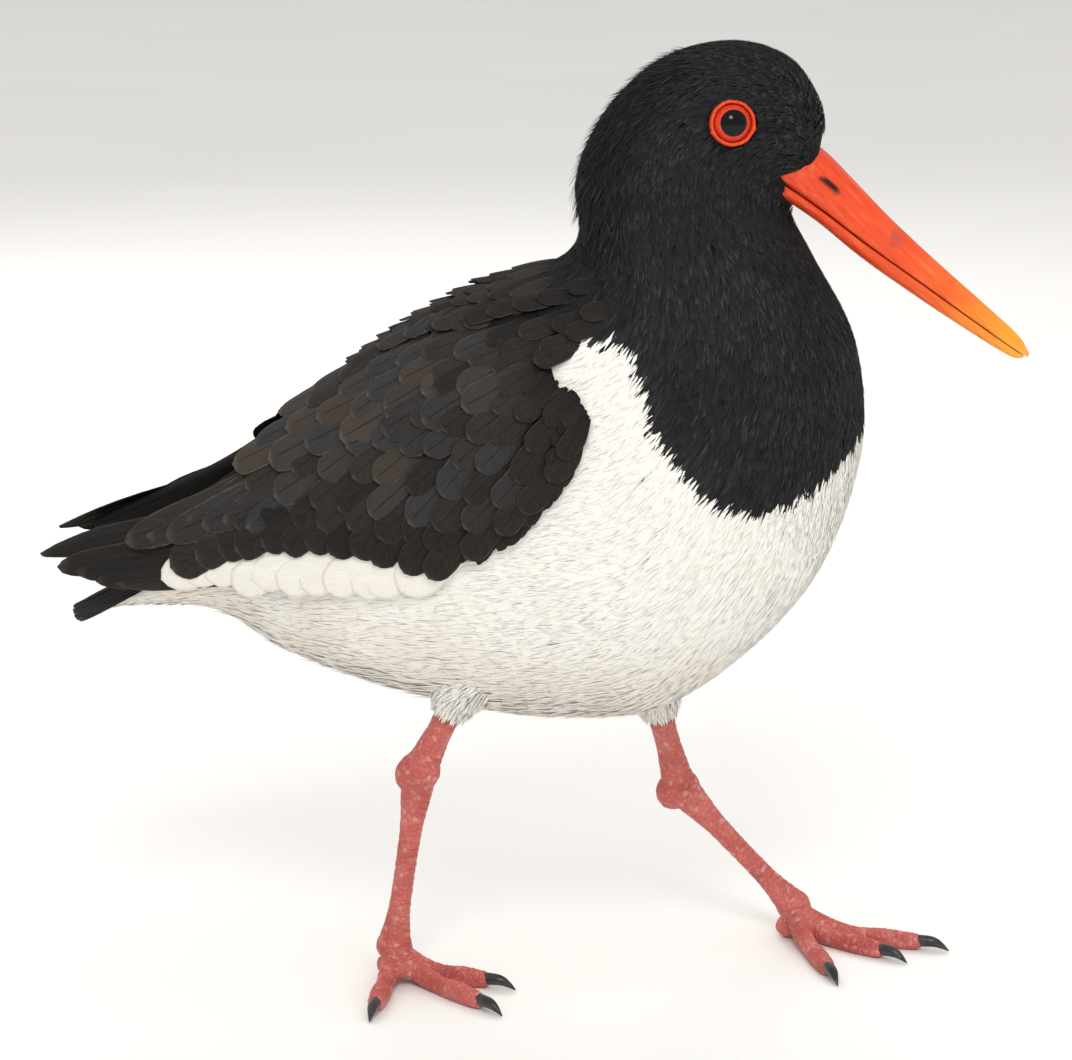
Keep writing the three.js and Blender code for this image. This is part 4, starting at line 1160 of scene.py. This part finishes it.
def build_bill(name, table, up, *nodes):
    rings, sides = 150, 64
    half_ring = spline(BILL_PROFILE, np.linspace(0, len(BILL_PROFILE) - 1, sides // 2 + 1))
    ring = np.vstack([half_ring * [-1, 1], (half_ring * [1, 1])[1:-1][::-1]])
    t = np.linspace(0, len(table) - 1, rings + 1)
    r = spline(table, t)
    middle = 0.5 * (r[:, 0:2] + r[:, 2:4])
    reach = 0.5 * (r[:, 0:2] - r[:, 2:4])
    size = np.hypot(reach[:, 0], reach[:, 1])
    tall = (size - 0.08) / size
    h = up * ring[None, :, 1] * tall[:, None]
    points = np.stack(
        [
            middle[:, None, 0] + h * reach[:, None, 0], ring[None, :, 0] * r[:, None, 4],
            middle[:, None, 1] + h * reach[:, None, 1]
        ], -1
    )
    groove = np.zeros(points.shape[:2])
    if up > 0:
        # The nostril: a slit sunk into each side, in a shallow trough.
        axis = np.array(NOSTRIL_RUN)
        off = points[:, :, [0, 2]] - np.array(NOSTRIL)
        long = (off * axis).sum(-1)
        wide = off[..., 0] * axis[1] * -1 + off[..., 1] * axis[0]
        slit = np.clip(1 - (long / 4.2) ** 2 - (wide / 0.95) ** 2, 0, 1) ** 0.5
        trough = np.exp(-((long / 8.5) ** 2) - (wide / 1.8) ** 2)
        points[:, :, 1] -= np.sign(points[:, :, 1]) * (slit * 1.5 + trough * 0.35)
        groove = np.clip(slit * 1.6, 0, 1)
    # Painted shade along the edge where the two mandibles meet, added to the groove column with the
    # nostril's.
    edge = np.clip(1 - np.abs(ring[:, 1] + 1.0) / 0.07, 0, 1)[None] * (np.abs(ring[:, 0]) > 0.5)[None]
    groove = np.clip(groove + edge * 0.9, 0, 1)
    # Behind the feathers' edge the bill sinks under the skin.
    flat = points.reshape(-1, 3)
    behind = flat[:, 0] - np.interp(flat[:, 2], BILL_EDGE[:, 1], BILL_EDGE[:, 0])
    sink = np.clip(-behind / 0.7, 0, 1)
    chart_s, chart_a = nearest_chart(flat)
    cover = np.abs(skin(BODY, chart_s, chart_a)[:, 1])
    kept = np.minimum(np.abs(flat[:, 1]), np.maximum(cover - 2.0, 0.0))
    flat[:, 1] = np.sign(flat[:, 1]) * (np.abs(flat[:, 1]) * (1 - sink) + kept * sink)
    verts, tris = join_parts([close_rings(flat, rings, len(ring))])
    if up < 0:
        tris = tris[:, ::-1]
    obj = mesh_object(name, verts, tris)
    values = np.concatenate([groove.ravel(), np.zeros(2)])
    attribute(obj, "groove", np.stack([values] * 4, 1))
    finish(obj, BILL, "bill", *nodes)


# Eyes.
EYE_BALL, EYE_OUT = 6.4, 1.5
PUPIL_EDGE, IRIS_EDGE = 37.2, 56.5  # degrees from the eye's axis


def build_eye(name, side):
    s, a = place_on(BODY, 57.7, 263.3)
    point = skin(BODY, s, a * side)[0]
    _, _, normal = skin_frame(BODY, np.array([s]), np.array([a * side]))
    normal = normal[0]
    centre = point + normal * (EYE_OUT - EYE_BALL)
    u = unit(np.cross(normal, [0, 0, 1.0]))
    v = np.cross(normal, u)
    around = 96
    turns = np.linspace(0, 2 * PI, around, endpoint=False)

    def revolve(label, profile, closed):
        """profile: (radius, height) list; a ring of faces between each pair."""
        pts, faces = [], []
        for r, h in profile:
            pts.append(
                centre + np.outer(np.cos(turns) * r, u) + np.outer(np.sin(turns) * r, v) + normal * h
            )
        k = np.arange(around)
        n = (k + 1) % around
        pairs = len(profile) if closed else len(profile) - 1
        for i in range(pairs):
            j = (i + 1) % len(profile)
            faces.append(np.stack([i * around + k, i * around + n, j * around + n, j * around + k], 1))
        obj = mesh_object(label, np.vstack(pts), np.vstack(faces))
        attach(obj, "root")
        return obj

    angles = np.radians(
        np.concatenate(
            [
                np.linspace(0.2, 36, 18), [37.0, 38], np.linspace(40, 55.5, 9), [56.4, 58.5],
                np.linspace(62, 179.8, 24)
            ]
        )
    )
    profile = [
        (EYE_BALL * math.sin(x), EYE_BALL * math.cos(x) + (0.35 * math.exp(-((x / 0.62) ** 2))))
        for x in angles
    ]
    ball = revolve(f"eyeball_{name}", profile, False)
    for material in (PUPIL, IRIS, LIMBUS):
        ball.data.materials.append(material)
    slots = []
    for i in range(len(angles) - 1):
        mid = math.degrees(0.5 * (angles[i] + angles[i + 1]))
        slots += [0 if mid < PUPIL_EDGE else 1 if mid < IRIS_EDGE else 2] * around
    ball.data.polygons.foreach_set("material_index", slots)
    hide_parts(f"eye_{name}")
    rim = math.sqrt(EYE_BALL**2 - 5.1**2)
    ring = [
        (5.6, rim - 1.4), (5.56, rim - 0.3), (5.6, rim + 0.25), (5.72, rim + 0.6), (5.92, rim + 0.82),
        (6.15, rim + 0.88),
        (6.4, rim + 0.74), (6.6, rim + 0.4), (6.7, rim - 0.1), (6.72, rim - 0.8), (6.5, rim - 2.4),
    ]
    lid = revolve(f"orbital_ring_{name}", ring, True)
    # The ring's small notches, fore and aft, and a slightly uneven edge.
    co = np.array([vert.co[:] for vert in lid.data.vertices]) / MM - SHIFT - centre
    angle = np.arctan2(co @ v, co @ u)
    radial = co - np.outer(co @ normal, normal)
    swell = 1 + 0.006 * np.sin(angle * 9 + 1) + 0.005 * np.sin(angle * 17)
    for at in (0.42, PI - 0.28):
        gap = np.abs((angle - at + PI) % (2 * PI) - PI)
        swell += 0.05 * np.exp(-((gap / 0.1) ** 2)) * (np.linalg.norm(radial, axis=1) > 6)
    co = co + radial * (swell - 1)[:, None]
    lid.data.vertices.foreach_set("co", ((co + centre + SHIFT) * MM).ravel())
    finish(lid, LID, "eyelid", f"eyelid_{name}")


# Legs.
def toe_stops(leg, toe):
    turn, length = leg["toes"][toe]
    turn = math.radians(turn)
    hx, hy, hz = leg["heel"]
    sole = TOE_R - SOLE_CUT
    bare = length - CLAW_LENGTH

    def at(reach, z, r):
        return (hx + reach * math.cos(turn), hy + reach * math.sin(turn), z, r, r * 0.98)

    body = [
        at(0, hz - 1, TOE_R), at(bare * 0.28, sole + 1.6, TOE_R * 1.06), at(bare * 0.5, sole, TOE_R * 0.94),
        at(bare * 0.72, sole, TOE_R * 1.04), at(
            bare * 0.93, sole - 0.1, TOE_R * 0.88
        ), at(bare, sole - 0.1, TOE_R * 0.6),
    ]
    claw = [
        at(bare - 2.6, sole + 0.2, CLAW_RADIUS), at(
            bare + CLAW_LENGTH * 0.36, sole + 0.4, CLAW_RADIUS * 0.84
        ),
        at(
            bare + CLAW_LENGTH * 0.72, sole - 0.6, CLAW_RADIUS * 0.5
        ), at(bare + CLAW_LENGTH, sole - CLAW_DROOP, 0.16),
    ]
    return body, claw


def ellipsoid(at, radii, rings=14, sides=24):
    lat = np.linspace(0.02, PI - 0.02, rings + 1)
    lon = np.linspace(0, 2 * PI, sides, endpoint=False)
    la, lo = np.meshgrid(lat, lon, indexing="ij")
    ball = [np.sin(la) * np.cos(lo), np.sin(la) * np.sin(lo), np.cos(la)]
    p = np.stack([r * x for r, x in zip(radii, ball)], -1).reshape(-1, 3) + np.array(at)
    return close_rings(p, rings, sides, TURNED)


def build_leg(name):
    leg = LEGS[name]
    cuff, ankle, heel = leg["cuff"], leg["ankle"], leg["heel"]

    def stop(t, fore, wide):
        return (*lerp(ankle, heel, t), SHANK_R[0] * fore, SHANK_R[1] * wide)

    def shin(t, fore=1.0, wide=1.0):
        return (*lerp(cuff, ankle, t), TIBIA_R[0] * fore, TIBIA_R[1] * wide)

    knee = (*ankle, ANKLE_R[0] * 0.86, ANKLE_R[1])
    shank = [
        (0, 1.7, 1.6), (0.16, 1.35, 1.15), (0.36, 1, 1), (0.76, 0.98, 1.02), (0.93, 1.35, 1.3),
        (1, 1.5, 1.5)
    ]
    parts = [
        tube([shin(-0.35), shin(0), shin(0.4, 0.9, 0.92), shin(0.8, 1.12), knee], 30, 32),
        tube([stop(*row) for row in shank], 60, 32),
        ellipsoid(ankle, (ANKLE_R[0], ANKLE_R[1] + 0.2, ANKLE_R[0] * 0.95)),
        ellipsoid(
            (ankle[0] - 2.4, ankle[1], ankle[2] - 1.5),
            (ANKLE_R[0] * 0.8, ANKLE_R[1] * 0.8, ANKLE_R[0] * 0.9)
        ),
        ellipsoid(heel, (HEEL_R[0], HEEL_R[1], HEEL_R[1])),
        ellipsoid((heel[0] - 1, heel[1], 3.6), (HEEL_R[0] * 0.8, HEEL_R[1] * 0.8, 3.6)),
    ]
    lines = [(np.array(cuff), np.array(ankle), "shin"), (np.array(ankle), np.array(heel), "shank")]
    claws = []
    for toe in leg["toes"]:
        body, claw = toe_stops(leg, toe)
        parts.append(tube(body, 40, 28))
        table = spline(np.array(body, float), np.linspace(0, 5, 12))[:, :3]
        for k in range(11):
            lines.append((table[k], table[k + 1], toe))
        claws.append((toe, claw))
    # A small web between the outer and the middle toe.
    web = []
    hx, hy, _ = heel
    for share in (0.0, 0.5, 1.0):
        turn = math.radians(leg["toes"]["outer"][0] * (1 - share) + leg["toes"]["middle"][0] * share)
        reach = 13.5 if share != 0.5 else 10.0
        web.append((hx + reach * math.cos(turn), hy + reach * math.sin(turn), 4.2, 1.5, 1.5))
    parts.append(tube(web, 12, 16))
    mid = math.radians(0.5 * (leg["toes"]["outer"][0] + leg["toes"]["middle"][0]))
    parts.append(ellipsoid((hx + 6.5 * math.cos(mid), hy + 6.5 * math.sin(mid), 5.6), (5.2, 5.2, 2.6)))
    obj = mesh_object(f"leg_skin_{name}", *join_parts(parts))
    p, nor = remesh(obj, 0.00042, 6)
    n = len(p)
    best = np.full(n, 1e9)
    reach = np.zeros(n)
    out = np.zeros((n, 3))
    base = 0.0
    kind = None
    for a, b, label in lines:
        if label != kind:
            base, kind = 0.0, label
        run = b - a
        size = np.linalg.norm(run)
        t = np.clip(((p - a) @ run) / size**2, 0, 1)
        near = a + t[:, None] * run
        d = np.linalg.norm(p - near, axis=1)
        closer = d < best
        best = np.where(closer, d, best)
        reach = np.where(closer, base + t * size, reach)
        out[closer] = (p - near)[closer]
        base += size
    # Cross scales on the front of the shank and the top of the toes.
    front = unit(out)
    shank = p[:, 2] > SHANK_FROM
    facing = np.where(shank, front[:, 0], front[:, 2])
    pitch = np.where(shank, *SCALE_PITCH)
    wave = (reach / pitch) % 1.0
    step = np.clip(facing * 2.2 - 0.3, 0, 1)
    plate = np.clip(np.sin(wave * PI), 0, 1) ** 0.5
    knobs = np.array([noise.noise(Vector(q * 0.55)) for q in p])
    fine = np.array([noise.noise(Vector(q * 1.5)) for q in p])
    floor = np.clip((p[:, 2] - 0.3) / 2.0, 0, 1)
    push = (0.2 * (plate - 0.75) * step + 0.16 * knobs + 0.1 * fine) * floor
    p = p + nor * push[:, None]
    p[:, 2] = np.maximum(p[:, 2], 0.0)
    obj.data.vertices.foreach_set("co", ((p + SHIFT) * MM).ravel())
    crease = np.clip((1 - plate * 1.6), 0, 1) * step * 0.8
    attribute(obj, "crease", np.stack([crease] * 4, 1))
    nodes = [f"tibia_{name}", f"tarsus_{name}"] + [f"toe_{name}_{toe}" for toe in leg["toes"]]
    finish(obj, LEG, "bare_leg", *nodes)
    for toe, claw in claws:
        piece = mesh_object(f"horn_{name}_{toe}", *join_parts([tube(claw, 30, 20)]))
        finish(piece, CLAW, "horn", f"claw_{name}_{toe}")


THIGH_TUFTS = 2400


def build_thigh_coat(name):
    """Short white tufts on the feathered thigh, running down over the bare leg."""
    leg = LEGS[name]
    table = np.array(thigh_stops(leg, -1.0), float)
    n = THIGH_TUFTS
    t = rng.uniform(0.5, 2.98, n)
    turn = rng.uniform(0, 2 * PI, n)
    at = spline(table, t)
    down = unit(spline(table, np.minimum(3, t + 0.05))[:, :3] - spline(table, t - 0.05)[:, :3])
    level = np.tile([0.0, 1.0, 0.0], (n, 1))
    front = unit(np.cross(level, down))
    across = unit(np.cross(down, front))
    normal = unit(front * np.cos(turn)[:, None] + across * np.sin(turn)[:, None])
    fore, wide = at[:, 3] * np.cos(turn), at[:, 4] * np.sin(turn)
    root = at[:, :3] + front * fore[:, None] + across * wide[:, None]
    side = unit(np.cross(normal, down))
    length = rng.uniform(5.5, 9.0, n) * np.where(t > 2.6, 0.72, 1)
    width = rng.uniform(0.8, 1.3, n)
    tint = rng.beta(2, 2.6, n)
    jitter = rng.normal(0, 0.12, n)
    back = np.array([-1.0, 0.0, -0.15])
    share = np.clip((t - 1.1) / 1.4, 0, 1)[:, None]
    back = back - normal * (normal @ back)[:, None]
    # Where the skin faces forwards, back shrinks to nothing along it, and the downward share takes over.
    lie = unit(unit(down) * (share + 0.45) + back * (1 - share) + side * jitter[:, None])
    side = unit(np.cross(normal, lie))
    # An even painted shade that greys the thigh's white slightly.
    painted_shade = np.full(n, 0.1)
    u, v = 0.02 + 0.95 * (t / 3), 0.02 + 0.95 * turn / (2 * PI)
    tuck = 0.22 * np.clip(t - 1.6, 0, 1)
    rows = []
    for f, share in LONG:
        height = -0.3 * (1 - f) - tuck * f * length * 0.5 + 0.25 * f
        centre = root + lie * (length * f)[:, None] + normal * height[:, None]
        thick = STRAND_THICK * width
        leaf_row(rows, f, share, centre, side, normal, width, thick, np.zeros(n), tint, painted_shade, u, v)
    leaf_mesh(f"coat_thigh_{name}", rows, "belly_feathers")


# Stage.
FLOOR_RINGS, FLOOR_SIDES = (0.4, 1.2, 3.0, 7.0, 16.0), 96
WORLD_LIGHT = 0.58
# name, place, size, watts, colour
LIGHTS = (
    ("key", (0.05, -1.25, 1.35), 0.5, 9.5, (1.0, 0.975, 0.945)),
    ("fill", (0.9, -1.5, 0.85), 1.0, 6.5, (0.97, 0.98, 1.0)),
    ("rim", (-0.4, 1.2, 1.1), 0.9, 9, (1.0, 0.99, 0.97)),
    ("top", (0.0, 0.8, 5.0), 10.0, 150, (1.0, 0.995, 0.985)),
)


def build_stage():
    turns = np.linspace(0, 2 * PI, FLOOR_SIDES, endpoint=False)
    points = [(0, 0, 0)] + [(r * math.cos(x), r * math.sin(x), 0) for r in FLOOR_RINGS for x in turns]
    faces = []
    for k in range(FLOOR_SIDES):
        n = (k + 1) % FLOOR_SIDES
        faces.append((0, 1 + k, 1 + n))
        for i in range(len(FLOOR_RINGS) - 1):
            a = 1 + i * FLOOR_SIDES
            b = a + FLOOR_SIDES
            faces += [(a + k, b + k, b + n), (a + k, b + n, a + n)]
    sweep = mesh_object("studio_floor", np.array(points) / MM - SHIFT, np.array(faces))
    m = Nodes("studio_paper", Roughness=0.9)
    m.link(m.ramp(m.noise(3.0), [(0.3, (0.85, 0.84, 0.825)), (0.7, (0.87, 0.86, 0.845))]), "Base Color")
    sweep.data.materials.append(m.material)

    world = bpy.data.worlds.new("studio")
    world.use_nodes = True
    sky = world.node_tree.nodes["Background"].inputs
    sky[0].default_value = (1.0, 0.985, 0.96, 1)
    sky[1].default_value = WORLD_LIGHT
    bpy.context.scene.world = world
    target = Vector((0.0, 0.0, 0.15))
    for name, at, size, power, colour in LIGHTS:
        data = bpy.data.lights.new(name, "AREA")
        data.energy = power
        data.size = size
        data.color = colour
        lamp = bpy.data.objects.new(name, data)
        lamp.location = at
        lamp.rotation_euler = (target - Vector(at)).to_track_quat("-Z", "Y").to_euler()
        lamp.visible_glossy = name == "key"
        bpy.context.scene.collection.objects.link(lamp)
    bpy.context.scene.view_settings.view_transform = "Standard"


CAMERA_AZIMUTH, CAMERA_ELEVATION, CAMERA_DISTANCE = math.radians(4), math.radians(13), 1.0


def build_camera():
    target = Vector((SHIFT[0] * MM, 0.0, 0.139))
    flat = math.cos(CAMERA_ELEVATION)
    back = Vector(
        (math.sin(CAMERA_AZIMUTH) * flat, -math.cos(CAMERA_AZIMUTH) * flat, math.sin(CAMERA_ELEVATION))
    )
    data = bpy.data.cameras.new("photo_view")
    data.lens = 112
    data.sensor_width = 36
    data.clip_start = 0.01
    camera = bpy.data.objects.new("photo_view", data)
    camera.location = target + back * CAMERA_DISTANCE
    camera.rotation_euler = (-back).to_track_quat("-Z", "Y").to_euler()
    bpy.context.scene.collection.objects.link(camera)
    bpy.context.scene.camera = camera


build_camera()
build_stage()
build_skin()
build_coat()
build_wing("right", -1, 0.0)
build_wing("left", 1, FAR_WING_LIFT)
build_mantle()
build_tail()
build_bill("beak_upper", UPPER_BILL, 1, "bill_upper")
build_bill("beak_lower", LOWER_BILL, -1, "bill_lower")
for eye, sign in (("right", -1), ("left", 1)):
    build_eye(eye, sign)
for leg_name in LEGS:
    build_leg(leg_name)
    build_thigh_coat(leg_name)
